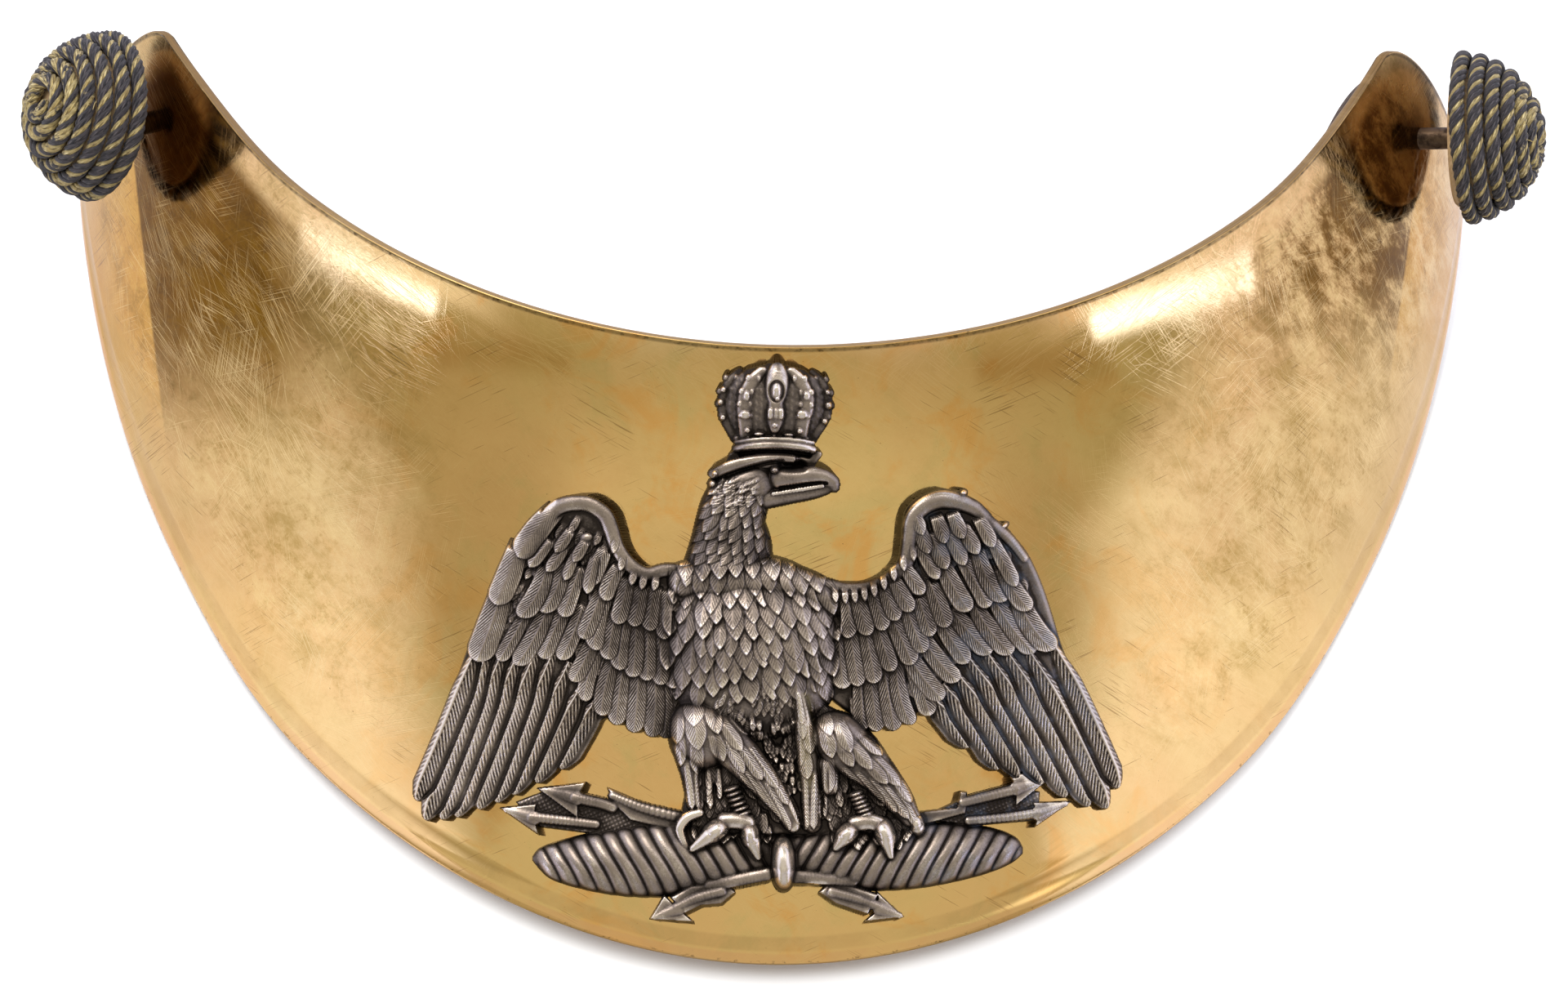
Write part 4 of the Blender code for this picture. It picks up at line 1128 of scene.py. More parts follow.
def lay_wing(hand, outline, quills, quill_width, ground, flow, coverts):
    """A wing's slab, flight feathers, filling and long coverts; hand is -1 left, 1 right."""
    # Thin at the tips, thick at the wrist and beside the body
    base = np.interp(GRID_Y2, (-17.0, -9.0, 0.0, 6.0, 15.0), (0.55, 0.75, 1.10, 1.35, 1.55))
    base = base + 0.5 * smooth_step(GRID_X2 * -hand, -16.0, -9.0)
    slab(outline, base - 0.05, 0.5)
    for x, y, tip_x, tip_y in quills:
        quill((x - 0.25 * hand, y + 0.5), (tip_x, tip_y), quill_width, base, hand)
    thicket(ground, base + 0.15, flow, 380, 1.7)
    for width, above, lift, shaft, lean, feathers in coverts:
        row(feathers, width, base + above, lean, lift=lift, barb=0.05, shaft=shaft, curl=0.12)
    return base


def make_left_wing():
    base = lay_wing(
        -1,
        outline=((-7.0, 7.6), (-10.1, 8.8), (-12.2, 8.5), (-13.7, 9.1), (-14.8, 10.4),
                 (-15.3, 12.1), (-15.8, 13.6), (-16.9, 14.8), (-18.2, 15.4), (-19.5, 15.5),
                 (-20.9, 15.1), (-22.2, 14.2), (-23.3, 12.9), (-24.7, 10.8), (-26.0, 9.3),
                 (-26.9, 7.7), (-28.0, 5.3), (-28.8, 2.8), (-29.7, 0.5), (-30.8, -2.8),
                 (-32.0, -6.4), (-33.4, -9.8), (-34.5, -12.6), (-34.4, -14.4), (-32.0, -15.8),
                 (-28.2, -15.0), (-24.6, -13.2), (-20.4, -11.0), (-18.2, -9.2), (-16.4, -6.4),
                 (-13.4, -6.2), (-9.6, -7.0), (-4.0, 0.0)),
        quills=((-16.9, -4.6, -20.5, -11.3), (-18.4, -3.2, -22.8, -12.7),
                (-19.9, -1.4, -25.1, -13.9), (-21.4, -0.2, -26.7, -14.7),
                (-23.0, 0.2, -28.4, -15.4), (-24.7, 0.0, -30.6, -16.2),
                (-26.2, 0.2, -32.0, -16.5), (-27.6, 0.2, -33.6, -16.6), (-28.6, 0.8, -34.5, -14.7)),
        quill_width=2.35,
        ground=((-9.0, 7.6), (-13.6, 7.8), (-15.6, 10.6), (-17.2, 13.8), (-20.4, 14.2),
                (-24.0, 10.4), (-26.6, 5.0), (-27.2, 3.0), (-19.0, 1.0), (-16.0, -3.0),
                (-9.0, -5.0)),
        flow=covert_flow((-28.0, -20.0, -14.0, -8.0), (245.0, 238.0, 255.0, 275.0)),
        coverts=(
            # width, height over the wing, lift, shaft, lean, feathers: root and tip
            (1.85, 0.10, 0.46, 0.10, 0.0, (
                (-10.4, -3.0, -10.2, -8.1), (-11.6, -3.0, -11.6, -8.0),
                (-13.2, -2.8, -13.4, -7.6), (-14.6, -2.4, -15.1, -6.9),
                (-15.8, -1.8, -16.6, -6.0), (-17.2, -0.6, -18.3, -4.6), (-17.9, 1.0, -19.5, -2.7))),
            (1.95, 0.20, 0.45, 0.10, 0.03, (
                (-19.1, 3.6, -20.7, -0.6), (-20.6, 3.8, -22.5, -0.5), (-22.6, 3.4, -25.0, -1.2),
                (-24.6, 3.2, -26.7, -0.8))),
            (1.85, 0.25, 0.46, 0.10, 0.0, (
                (-9.8, 1.0, -9.6, -3.2), (-11.0, 1.6, -10.8, -2.9), (-12.2, 1.8, -12.2, -2.5),
                (-13.4, 2.0, -13.6, -2.2), (-14.4, 2.4, -14.9, -1.5), (-15.4, 3.2, -16.1, -0.5),
                (-16.4, 4.4, -17.3, 0.4), (-17.2, 5.2, -18.6, 1.5))),
            (2.0, 0.35, 0.45, 0.08, 0.03, (
                (-19.2, 7.4, -20.5, 3.6), (-21.0, 7.8, -22.5, 4.0), (-22.8, 7.4, -24.7, 3.5))),
            (1.8, 0.40, 0.42, 0.06, 0.0, (
                (-10.4, 5.4, -10.6, 1.6), (-11.6, 5.8, -12.0, 2.4), (-13.0, 6.0, -13.6, 2.8),
                (-14.4, 6.6, -15.2, 3.0), (-15.2, 8.0, -16.5, 5.3), (-16.8, 9.6, -18.0, 6.8))),
        ))
    feather((-26.4, 6.6), (-28.9, -0.9), 2.9, base + 0.35, lift=0.50, bend=0.02, barb=0.04,
            shaft=0.06, curl=0.3, fade=1.5)
    feather((-24.7, 11.2), (-27.1, 4.7), 2.6, base + 0.45, lift=0.45, bend=0.02, barb=0.03,
            shaft=0.0, curl=0.35, fade=1.5)
    row(((-17.6, 8.8, -18.2, 5.9), (-19.4, 9.4, -20.4, 7.2), (-20.8, 10.0, -22.2, 8.0),
         (-22.2, 10.6, -23.9, 8.4), (-18.6, 10.8, -19.6, 9.0), (-20.2, 11.8, -21.4, 9.9)),
        1.35, base + 0.55, lift=0.36, sharp=0.4, barb=0.03, shaft=0.05, curl=0.2)
    dome((-18.4, 11.4), (0.8, 0.6), 2.1, 20, 1.4)
    roll(((-8.5, 8.3, 0.7, 2.3), (-10.6, 8.4, 0.7, 2.4), (-12.4, 8.0, 0.7, 2.35),
          (-14.1, 8.9, 0.75, 2.3), (-15.3, 10.5, 0.75, 2.3), (-15.9, 12.2, 0.8, 2.3),
          (-16.6, 13.7, 0.8, 2.3), (-18.1, 14.7, 0.8, 2.25), (-19.6, 14.8, 0.8, 2.2),
          (-21.1, 14.4, 0.8, 2.1), (-22.3, 13.3, 0.7, 1.95), (-23.5, 11.7, 0.5, 1.7)),
         0.35, squash=0.7)
    feather((-21.0, 14.6), (-25.0, 9.4), 2.6, base + 0.40, lift=0.5, bend=-0.03, barb=0.02,
            shaft=0.0, curl=0.35, start=0.6, fade=2.0)
    for x, y in ((-13.6, 7.8), (-12.6, 7.4), (-11.4, 7.3), (-14.7, 9.2), (-15.4, 10.9)):
        feather((x, y + 0.6), (x - 0.3, y - 1.0), 0.9, base + 0.65, lift=0.3, sharp=0.6, barb=0.02,
                shaft=0.03)


def make_right_wing():
    base = lay_wing(
        1,
        outline=((2.0, 7.4), (4.0, 8.1), (6.5, 7.6), (9.0, 7.7), (11.0, 8.6), (12.2, 9.9),
                 (12.5, 11.9), (12.7, 14.3), (13.6, 15.6), (14.8, 16.3), (16.3, 16.8),
                 (17.5, 16.6), (18.4, 16.6), (19.2, 16.0), (20.3, 15.4), (21.5, 14.1),
                 (22.7, 13.3), (23.8, 12.1), (25.0, 10.6), (26.0, 8.7), (26.8, 6.8), (27.7, 4.2),
                 (28.5, 1.7), (29.6, -0.9), (30.8, -3.6), (32.1, -6.4), (33.3, -9.0),
                 (33.6, -11.6), (33.2, -13.4), (30.4, -13.2), (26.0, -10.9), (21.6, -9.6),
                 (17.9, -7.6), (15.6, -5.2), (12.6, -5.8), (9.4, -6.4), (2.0, 0.0)),
        quills=((15.6, -4.2, 19.4, -8.6), (16.9, -3.0, 22.4, -10.7), (18.0, -1.6, 24.4, -11.4),
                (19.4, -0.4, 26.8, -12.0), (21.0, 0.4, 29.2, -13.3), (22.8, 0.8, 31.5, -14.2),
                (24.8, 1.2, 33.3, -14.4), (27.3, 1.8, 34.4, -12.4)),
        quill_width=2.45,
        ground=((5.0, 6.6), (9.4, 6.4), (12.2, 8.4), (13.4, 13.2), (15.6, 15.2), (19.4, 14.4),
                (23.0, 11.0), (25.4, 6.6), (26.0, 4.4), (18.6, 1.6), (15.0, -2.6), (8.0, -5.0),
                (5.0, 0.0)),
        flow=covert_flow((6.0, 12.0, 18.0, 28.0), (272.0, 290.0, 302.0, 298.0)),
        coverts=(
            # width, height over the wing, lift, shaft, lean, feathers: root and tip
            (2.0, 0.10, 0.46, 0.10, 0.0, (
                (8.6, -2.8, 8.9, -7.0), (9.8, -2.6, 10.4, -7.1), (11.2, -2.2, 12.1, -7.0),
                (12.6, -1.6, 13.8, -6.4), (14.0, -1.2, 15.6, -5.5))),
            (2.1, 0.20, 0.46, 0.10, -0.04, (
                (13.8, 0.2, 16.8, -3.9), (15.2, 2.0, 18.3, -2.1), (16.8, 3.2, 19.2, -0.3),
                (18.4, 4.2, 21.5, 0.7), (20.6, 4.6, 23.6, 0.7), (22.6, 5.2, 25.8, 0.8),
                (24.8, 5.6, 27.7, 1.1))),
            (1.9, 0.25, 0.46, 0.10, 0.0, (
                (6.6, 1.6, 7.0, -3.0), (7.8, 1.8, 8.5, -2.7), (9.2, 1.8, 10.1, -2.4),
                (10.6, 2.2, 11.8, -1.2), (12.2, 3.0, 13.8, -0.5), (13.4, 4.2, 14.9, 0.7),
                (14.6, 5.4, 15.6, 2.3), (15.8, 6.6, 17.1, 3.2))),
            (2.0, 0.35, 0.45, 0.08, -0.03, (
                (17.2, 8.6, 19.3, 4.8), (19.0, 9.0, 21.2, 5.2), (20.8, 9.6, 22.8, 5.8),
                (23.0, 8.4, 25.3, 5.0))),
            (1.7, 0.40, 0.42, 0.06, 0.0, (
                (7.0, 5.6, 7.4, 2.0), (8.4, 5.4, 9.4, 2.3), (9.8, 5.8, 10.9, 2.8),
                (11.0, 6.4, 12.2, 3.8), (12.2, 7.2, 13.6, 4.7), (13.2, 8.6, 14.7, 6.4))),
        ))
    row(((14.6, 10.6, 16.2, 7.9), (15.6, 11.8, 17.0, 8.9), (17.2, 12.2, 18.8, 9.3),
         (18.8, 12.6, 20.1, 10.4), (22.0, 10.8, 23.9, 7.3), (20.2, 13.4, 21.6, 11.1),
         (14.4, 12.6, 15.2, 10.4), (16.0, 13.6, 16.8, 11.4), (17.6, 14.0, 18.6, 11.9),
         (13.8, 14.0, 14.6, 12.2)),
        1.6, base + 0.55, lift=0.38, sharp=0.3, barb=0.035, shaft=0.05, curl=0.2)
    roll(((3.0, 7.5, 0.7, 2.3), (5.0, 7.3, 0.7, 2.3), (7.0, 6.8, 0.7, 2.2), (9.2, 6.9, 0.75, 2.2),
          (11.2, 7.7, 0.8, 2.2), (12.9, 9.4, 0.85, 2.3), (13.3, 11.6, 0.85, 2.4),
          (13.6, 13.7, 0.9, 2.4), (14.6, 15.0, 0.9, 2.4), (16.2, 15.7, 0.95, 2.35),
          (18.0, 15.5, 0.9, 2.25), (19.8, 14.8, 0.8, 2.1), (21.4, 13.3, 0.7, 1.95),
          (23.2, 11.8, 0.6, 1.8), (24.6, 10.1, 0.5, 1.65)),
         0.25)
    for index, y in enumerate((6.2, 6.1, 6.2, 6.4, 6.8, 7.5, 8.4, 9.4, 10.4)):
        x = 6.0 + 0.95 * index
        feather((x, y + 0.8), (x + 0.15, y - 0.8), 0.8, base + 0.65, lift=0.3, sharp=0.8, barb=0.02,
                shaft=0.04)
    dome((18.5, 16.4), (0.55, 0.45), 2.1, 20)
    dome((22.6, 13.2), (0.7, 0.35), 1.7, 40)


def make_body():
    """Breast, belly and neck, clothed in scale feathers."""
    dome((-2.0, 0.8), (9.0, 9.4), 4.3, 0, 0.2, 2.2, 0.4)
    roll(((-4.6, 8.0, 4.4, 3.7), (-4.2, 10.4, 4.1, 3.5), (-4.3, 12.6, 3.5, 3.4),
          (-4.0, 14.4, 3.3, 3.3), (-3.3, 16.0, 3.0, 3.2)), 0.3, squash=0.75)
    roll(((-8.6, 7.4, 2.0, 3.0), (-2.0, 7.6, 2.6, 3.7), (2.8, 6.6, 2.3, 3.0),
          (5.6, 5.4, 2.0, 2.4)), 0.3)
    base = RELIEF.copy()
    thicket(((-6.0, -2.0), (5.4, -2.0), (3.4, -8.6), (0.4, -10.0), (-3.0, -8.6)), base,
            lambda x: (0.10 * x, -1.0), 170, 1.3, 0.18)
    middle = -1.9
    for index in range(9):
        tip_y = -4.6 + index * 1.52
        half = 8.4 * math.sqrt(max(0.1, 1 - (abs(tip_y - 1.0) / 10.4) ** 2.2))
        count = int(round(2 * half / 1.75))
        for place in range(count + 1):
            x = middle - half + (place + 0.5 * (index % 2)) * 2 * half / count
            if x > middle + half:
                continue
            jitter = RNG.normal(0.0, 1.0, 6)
            lean = np.interp(x, (-9.0, 0.0, 6.0), (-0.10, 0.16, 0.30)) + 0.07 * jitter[0]
            length = 3.3 + 0.4 * jitter[1]
            tip = (x + 0.25 * jitter[2], tip_y + 0.28 * jitter[3])
            root = (tip[0] - lean * length, tip[1] + length)
            feather(root, tip, 1.95 + 0.22 * jitter[4], base, lift=0.44 + 0.05 * jitter[5],
                    sharp=0.85, barb=0.016, pitch=0.5, shaft=0.05, curl=0.15, start=0.0,
                    bend=0.02 * jitter[0], tilt=0.03 * jitter[2])
    for index in range(7):
        tip_y = 8.9 + index * 1.15
        left = np.interp(tip_y, (8.6, 9.7, 11.6, 13.5, 14.4, 16.1),
                         (-9.6, -8.7, -7.9, -7.4, -7.2, -6.2))
        right = np.interp(tip_y, (8.6, 9.2, 10.6, 12.5, 14.2), (2.0, 0.9, -0.2, -0.9, -0.8))
        count = int(round((right - left) / 1.3))
        for place in range(count + 1):
            share = (place + 0.5 * (index % 2)) / count
            if share > 1.0:
                continue
            jitter = RNG.normal(0.0, 0.16, 4)
            x = left + share * (right - left)
            feather((x + 1.9 - 1.9 * share + jitter[0], tip_y + 2.3 + jitter[1]),
                    (x + jitter[3], tip_y + jitter[2]), 1.45, base, lift=0.36, sharp=0.8,
                    barb=0.018, pitch=0.4, shaft=0.05, curl=0.14, start=0.0, bend=0.05)


def make_head():
    slab(((-4.4, 17.0), (-3.9, 20.4), (4.0, 20.4), (4.0, 19.0), (3.4, 18.0), (0.0, 16.0)), 1.5)
    dome((-2.7, 16.7), (3.4, 2.6), 3.3, 10, 0.2, 2.2, 0.3)
    dome((-0.6, 19.2), (3.4, 1.2), 2.9, 5, 0.2, 2.2, 0.2)
    base = RELIEF.copy()
    thicket(((-6.0, 16.4), (-4.6, 17.6), (-1.2, 18.0), (-0.8, 15.6), (-3.0, 14.6), (-6.4, 15.0)),
            base, lambda x: (-0.85, -0.5), 110, 1.1, 0.09)
    roll(((-0.8, 15.5, 1.0, 2.8), (1.2, 15.8, 0.85, 2.8), (4.0, 16.3, 0.7, 2.65),
          (5.4, 16.7, 0.5, 2.5)), 0.12)
    roll(((0.4, 17.5, 1.2, 3.0), (2.6, 17.75, 1.0, 3.0), (4.4, 17.75, 0.95, 2.95),
          (5.5, 17.3, 0.8, 2.85), (5.8, 16.8, 0.6, 2.65)), 0.22)
    carve(((0.5, 16.6), (2.6, 16.95), (4.2, 17.15), (5.0, 17.1)), 0.5, 0.13)
    roll(((-0.2, 16.0, 0.22, 3.0), (2.4, 16.45, 0.26, 3.0), (4.6, 16.85, 0.24, 2.85)), 0.1)
    carve(((0.7, 18.9), (1.6, 18.75), (2.5, 18.8)), 1.1, 0.42)
    roll(((-6.1, 17.9, 0.50, 2.7), (-4.2, 18.7, 0.58, 2.95), (-1.8, 19.3, 0.60, 3.1),
          (0.2, 19.6, 0.5, 3.05), (1.6, 19.5, 0.40, 2.8)), 0.40, squash=0.7)
    dome((-5.9, 17.9), (0.55, 0.5), 3.2, 0, 0.8)
    dome((-6.1, 16.9), (0.55, 0.6), 2.7, 0, 0.8)
    carve(((-4.8, 17.6), (-2.6, 18.5), (-0.8, 19.0), (0.6, 19.2)), 0.5, 0.22)
    dome((-0.1, 18.35), (0.42, 0.36), 3.5, 10, 2.6, 2.0, 0.05)


CROWN_LEVELS = (19.6, 20.4, 21.2, 22.4, 23.5, 24.8, 26.2, 27.3, 28.2, 28.7)
CROWN_WIDTHS = (3.85, 3.85, 4.05, 4.75, 5.45, 5.75, 5.35, 4.4, 2.9, 0.9)
CROWN_BULGES = (2.1, 2.2, 2.4, 2.65, 2.8, 2.8, 2.6, 2.2, 1.6, 0.9)


def crown_surface(x, y, sunk=0.0):
    half = np.interp(y, CROWN_LEVELS, CROWN_WIDTHS)
    top = np.interp(y, CROWN_LEVELS, CROWN_BULGES)
    share = np.clip(1.0 - ((x + 0.15) / half) ** 2, 0.0, 1.0)
    return 0.2 + (top - sunk - 0.2) * np.sqrt(share)


def bead(x, y, half_x, half_y, lift):
    """A boss that stands on the crown."""
    top = float(crown_surface(x, y))
    dome((x, y), (half_x, half_y), top + lift, 0, top - 0.6, 2.2, 0.03)


def make_crown():
    cut, x, y = window(-6.4, 6.4, 19.6, 28.8)
    x, y = np.broadcast_arrays(x, y)
    inside = np.interp(y, CROWN_LEVELS, CROWN_WIDTHS) - np.abs(x + 0.15)
    body = crown_surface(x, y, 0.36) + 0.05 * ripple(x / 0.5) * ripple(y / 0.7 + x / 1.3)
    raise_to(cut, np.where(inside > 0, body, EMPTY), 0.02)
    levels = (27.8, 26.9, 25.6, 24.4, 23.3, 22.2, 21.5)
    arches = (
        (-1.5, -2.3, -2.95, -3.1, -3.0, -2.85, -2.8), (1.4, 2.2, 2.85, 2.85, 2.55, 2.35, 2.3),
        (-3.7, -4.5, -5.1, -5.2, -4.9, -4.3, -3.9), (3.5, 4.3, 4.8, 4.9, 4.6, 3.9, 3.5),
    )
    for line, radius in zip(arches, (0.80, 0.80, 0.62, 0.62)):
        knots = [(px, py, radius * (0.8 if py > 27 else 1.0), float(crown_surface(px, py)) + 0.02)
                 for px, py in zip(line, levels)]
        roll(knots, 0.05, squash=0.7)
        for offset in (-1, 1):
            for px, py, size, top in knots[1:5]:
                dome((px + offset * 0.5, py + 0.35), (0.34, 0.42), top + 0.04, 0, top - 0.5,
                     2.0, 0.03)
    for px, py, half_x, half_y, lift in (
            (-2.95, 25.5, 0.48, 0.7, 0.30), (2.9, 25.6, 0.5, 0.66, 0.30),
            (-3.05, 23.7, 0.72, 0.62, 0.30), (2.5, 23.8, 0.72, 0.62, 0.30),
            (-2.8, 22.2, 0.40, 0.40, 0.35), (2.3, 22.2, 0.40, 0.40, 0.35),
            (-5.2, 26.1, 0.42, 0.45, 0.6), (-5.45, 24.9, 0.42, 0.44, 0.7),
            (-5.2, 23.4, 0.45, 0.5, 0.6), (4.95, 26.0, 0.40, 0.42, 0.6),
            (5.05, 24.75, 0.46, 0.48, 0.7), (4.7, 23.2, 0.42, 0.45, 0.6),
            (-3.76, 21.4, 0.45, 0.42, 0.3), (-1.65, 21.85, 0.62, 0.26, 0.22),
            (1.2, 21.8, 0.62, 0.26, 0.22), (2.95, 21.4, 0.42, 0.40, 0.3),
            (-2.7, 21.5, 0.26, 0.26, 0.22), (-0.2, 21.65, 0.3, 0.26, 0.22)):
        bead(px, py, half_x, half_y, lift)
    roll(((0.0, 28.1, 0.8, 1.9), (0.0, 27.1, 1.2, 2.6), (-0.05, 26.0, 1.1, 2.95),
          (-0.1, 24.9, 0.75, 2.95), (-0.1, 23.7, 0.95, 3.0), (-0.15, 22.4, 0.5, 2.75)), 0.05,
         squash=0.8)
    ring = np.linspace(0, 2 * math.pi, 15)
    carve([(-0.05 + 0.66 * math.cos(a), 26.05 + 0.95 * math.sin(a)) for a in ring], 0.28, 0.14)
    dome((-0.05, 26.0), (0.52, 0.8), 3.2, 0, 2.5, 2.0, 0.03)
    dome((0.05, 25.3), (0.32, 0.3), 3.2, 0, 2.5, 2.0, 0.03)
    dome((0.05, 27.8), (0.9, 0.52), 2.4, 0, 1.4, 2.2, 0.03)
    for px in (-0.55, 0.0, 0.45):
        dome((px - 0.05, 23.85), (0.36, 0.66), 3.2, 0, 2.6, 2.6, 0.03)
    dome((-0.15, 22.7), (0.40, 0.36), 3.05, 0, 2.3, 2.0, 0.03)
    for level, radius, low, high in ((20.95, 0.26, 0.8, 2.25), (20.35, 0.42, 0.9, 2.35)):
        roll([(px, level + 0.42 * (1 - (px / 4.0) ** 2), radius,
               low + high * math.sqrt(max(0.02, 1 - (px / 4.15) ** 2)))
              for px in np.linspace(-3.85, 3.6, 11)], 0.04)
    carve([(px, 19.75 + 0.4 * (1 - (px / 4.0) ** 2)) for px in np.linspace(-3.3, 3.2, 8)],
          1.0, 0.24)


def make_thunderbolt():
    """Two fluted halves, and two bars under them."""
    halves = (
        # upper edge, lower edge, slant of the flutes
        (((-23.1, -19.9), (-22.3, -19.0), (-20.2, -18.2), (-16.8, -17.3), (-12.6, -16.5),
          (-8.6, -16.0), (-4.0, -16.4), (1.0, -17.2)),
         ((-23.1, -20.3), (-21.4, -22.0), (-18.2, -23.0), (-14.2, -23.6), (-10.0, -23.6),
          (-6.2, -23.0), (-2.6, -22.2), (1.0, -21.6)), 0.62),
        (((25.0, -18.3), (24.3, -17.3), (22.4, -16.5), (19.4, -16.0), (15.4, -15.9),
          (11.0, -16.1), (6.0, -16.4), (1.4, -17.2)),
         ((25.0, -18.9), (23.6, -20.0), (20.4, -21.2), (15.4, -22.3), (10.6, -22.7),
          (7.0, -22.6), (4.0, -22.1), (1.4, -21.6)), -0.60),
    )
    for upper, lower, slant in halves:
        upper = smooth_line(upper, 8)
        lower = smooth_line(lower, 8)
        if upper[0, 0] > upper[-1, 0]:
            upper, lower = upper[::-1], lower[::-1]
        line = np.concatenate((upper, lower[::-1]))
        cut, x, y = window_round(line, 0.2)
        x, y = np.broadcast_arrays(x, y)
        high = np.interp(x, upper[:, 0], upper[:, 1])
        low = np.interp(x, lower[:, 0], lower[:, 1])
        middle, half = (high + low) / 2, np.maximum((high - low) / 2, 0.05)
        share = np.clip(np.abs((y - middle) / half), 0.0, 1.0)
        hump = np.sqrt(1.0 - share ** 2)
        thick = np.minimum(1.0, half / 2.9)
        phase = (x + slant * (y - middle) - 0.05 * slant * (y - middle) * np.abs(y - middle)) / 1.58
        flute = np.abs(np.cos(math.pi * phase)) ** 0.55
        height = 0.15 + 2.2 * thick * hump - 0.46 * (1.0 - flute) * smooth_step(half, 0.2, 1.4)
        inside = inside_of(x, y, line)
        cover = cover_of(inside)
        raise_to(cut, EMPTY + (height - EMPTY) * cover, 0.03)
    roll(((-5.8, -22.4, 0.62, 1.7), (-3.0, -21.8, 0.66, 2.1), (-0.2, -21.2, 0.66, 2.4)), 0.2,
         squash=0.6)
    roll(((2.6, -21.4, 0.66, 2.4), (5.2, -21.5, 0.66, 2.1), (8.2, -21.7, 0.6, 1.7)), 0.2,
         squash=0.6)


def arrow_head(tip, barb_a, barb_b, notch, top):
    """Flat barbed head with a ridge from its tip to its notch."""
    slab((tip, barb_a, notch, barb_b), top, 0.22, smooth=False)
    roll(((tip[0] * 0.8 + notch[0] * 0.2, tip[1] * 0.8 + notch[1] * 0.2, 0.3, top + 0.02),
          (*notch, 0.7, top + 0.24)), 0.2, 14, squash=0.5)


def stipple(outline, top):
    """A web with a fine punched ground."""
    slab(outline, top, 0.12, smooth=False)
    line = np.asarray(outline, float)
    cut, x, y = window_round(line, 0.1)
    x, y = np.broadcast_arrays(x, y)
    inside = inside_of(x, y, line)
    dots = ripple(x / 0.42 + y / 0.9) * ripple(y / 0.42 - x / 0.9)
    RELIEF[cut] += np.where((inside > 0.1) & (RELIEF[cut] < top + 0.05), 0.10 * dots, 0.0)


def make_arrows():
    stipple(((-24.8, -14.6), (-21.4, -13.2), (-18.4, -14.2), (-8.4, -15.4), (-8.4, -18.2),
             (-16.8, -17.6), (-22.4, -17.0)), 0.85)
    arrow_head((-26.4, -15.2), (-22.8, -14.7), (-22.5, -17.8), (-23.0, -16.1), 1.25)
    roll(((-23.4, -16.0, 0.55, 1.55), (-20.0, -16.3, 0.55, 1.5), (-17.0, -16.6, 0.5, 1.4)), 0.10)
    arrow_head((-22.8, -13.2), (-18.0, -12.5), (-18.7, -16.1), (-18.8, -14.1), 1.40)
    roll(((-19.2, -14.0, 0.62, 1.7), (-16.6, -14.5, 0.62, 1.6), (-15.4, -14.9, 0.6, 1.5)), 0.10)
    slab(((-15.9, -13.0), (-15.3, -14.6), (-13.6, -16.2), (-9.0, -17.2), (-8.0, -15.6),
          (-12.4, -14.4), (-14.6, -13.5)), 1.35, 0.35, smooth=False)
    roll(((-15.4, -13.8, 0.45, 1.5), (-12.4, -14.9, 0.6, 1.7), (-8.2, -15.9, 0.7, 1.7)), 0.15)
    stipple(((14.6, -15.6), (19.0, -13.5), (24.0, -12.4), (26.6, -12.8), (26.4, -15.6),
             (20.0, -16.2)), 0.85)
    arrow_head((27.8, -11.3), (23.4, -10.9), (24.2, -14.2), (24.2, -12.5), 1.40)
    roll(((24.4, -12.5, 0.6, 1.65), (21.6, -13.2, 0.6, 1.6), (19.0, -13.9, 0.55, 1.5)), 0.10)
    slab(((18.7, -12.8), (19.4, -12.9), (19.3, -15.0), (14.4, -16.4), (13.6, -15.0),
          (18.4, -14.4)), 1.25, 0.25, smooth=False)
    arrow_head((29.8, -13.7), (25.8, -13.8), (26.1, -16.3), (26.4, -14.9), 1.25)
    roll(((26.6, -14.8, 0.52, 1.5), (23.4, -15.3, 0.52, 1.45), (19.6, -15.7, 0.5, 1.4)), 0.10)
    arrow_head((-11.6, -25.8), (-10.2, -23.4), (-7.2, -26.0), (-8.8, -24.7), 1.35)
    slab(((-9.6, -23.6), (-7.6, -22.4), (-4.0, -22.0), (-3.2, -23.0), (-4.6, -24.2), (-6.6, -24.4),
          (-8.2, -25.2)), 1.55, 0.35, smooth=False)
    roll(((-9.0, -24.6, 0.6, 1.6), (-7.0, -23.6, 0.6, 1.8), (-4.6, -22.9, 0.6, 1.9)), 0.2)
    arrow_head((13.4, -25.2), (10.6, -22.7), (9.4, -25.7), (10.9, -24.4), 1.35)
    slab(((10.8, -23.0), (8.2, -22.2), (6.0, -21.8), (4.9, -22.9), (6.6, -24.0), (9.8, -25.0)),
         1.55, 0.35, smooth=False)
    roll(((10.8, -24.2, 0.6, 1.6), (8.6, -23.4, 0.6, 1.8), (6.2, -22.8, 0.6, 1.9)), 0.2)


def plumes(feathers, base, **settings):
    """Single feathers, each given by its root, its tip and its width."""
    for x, y, tip_x, tip_y, width in feathers:
        feather((x, y), (tip_x, tip_y), width, base, **settings)


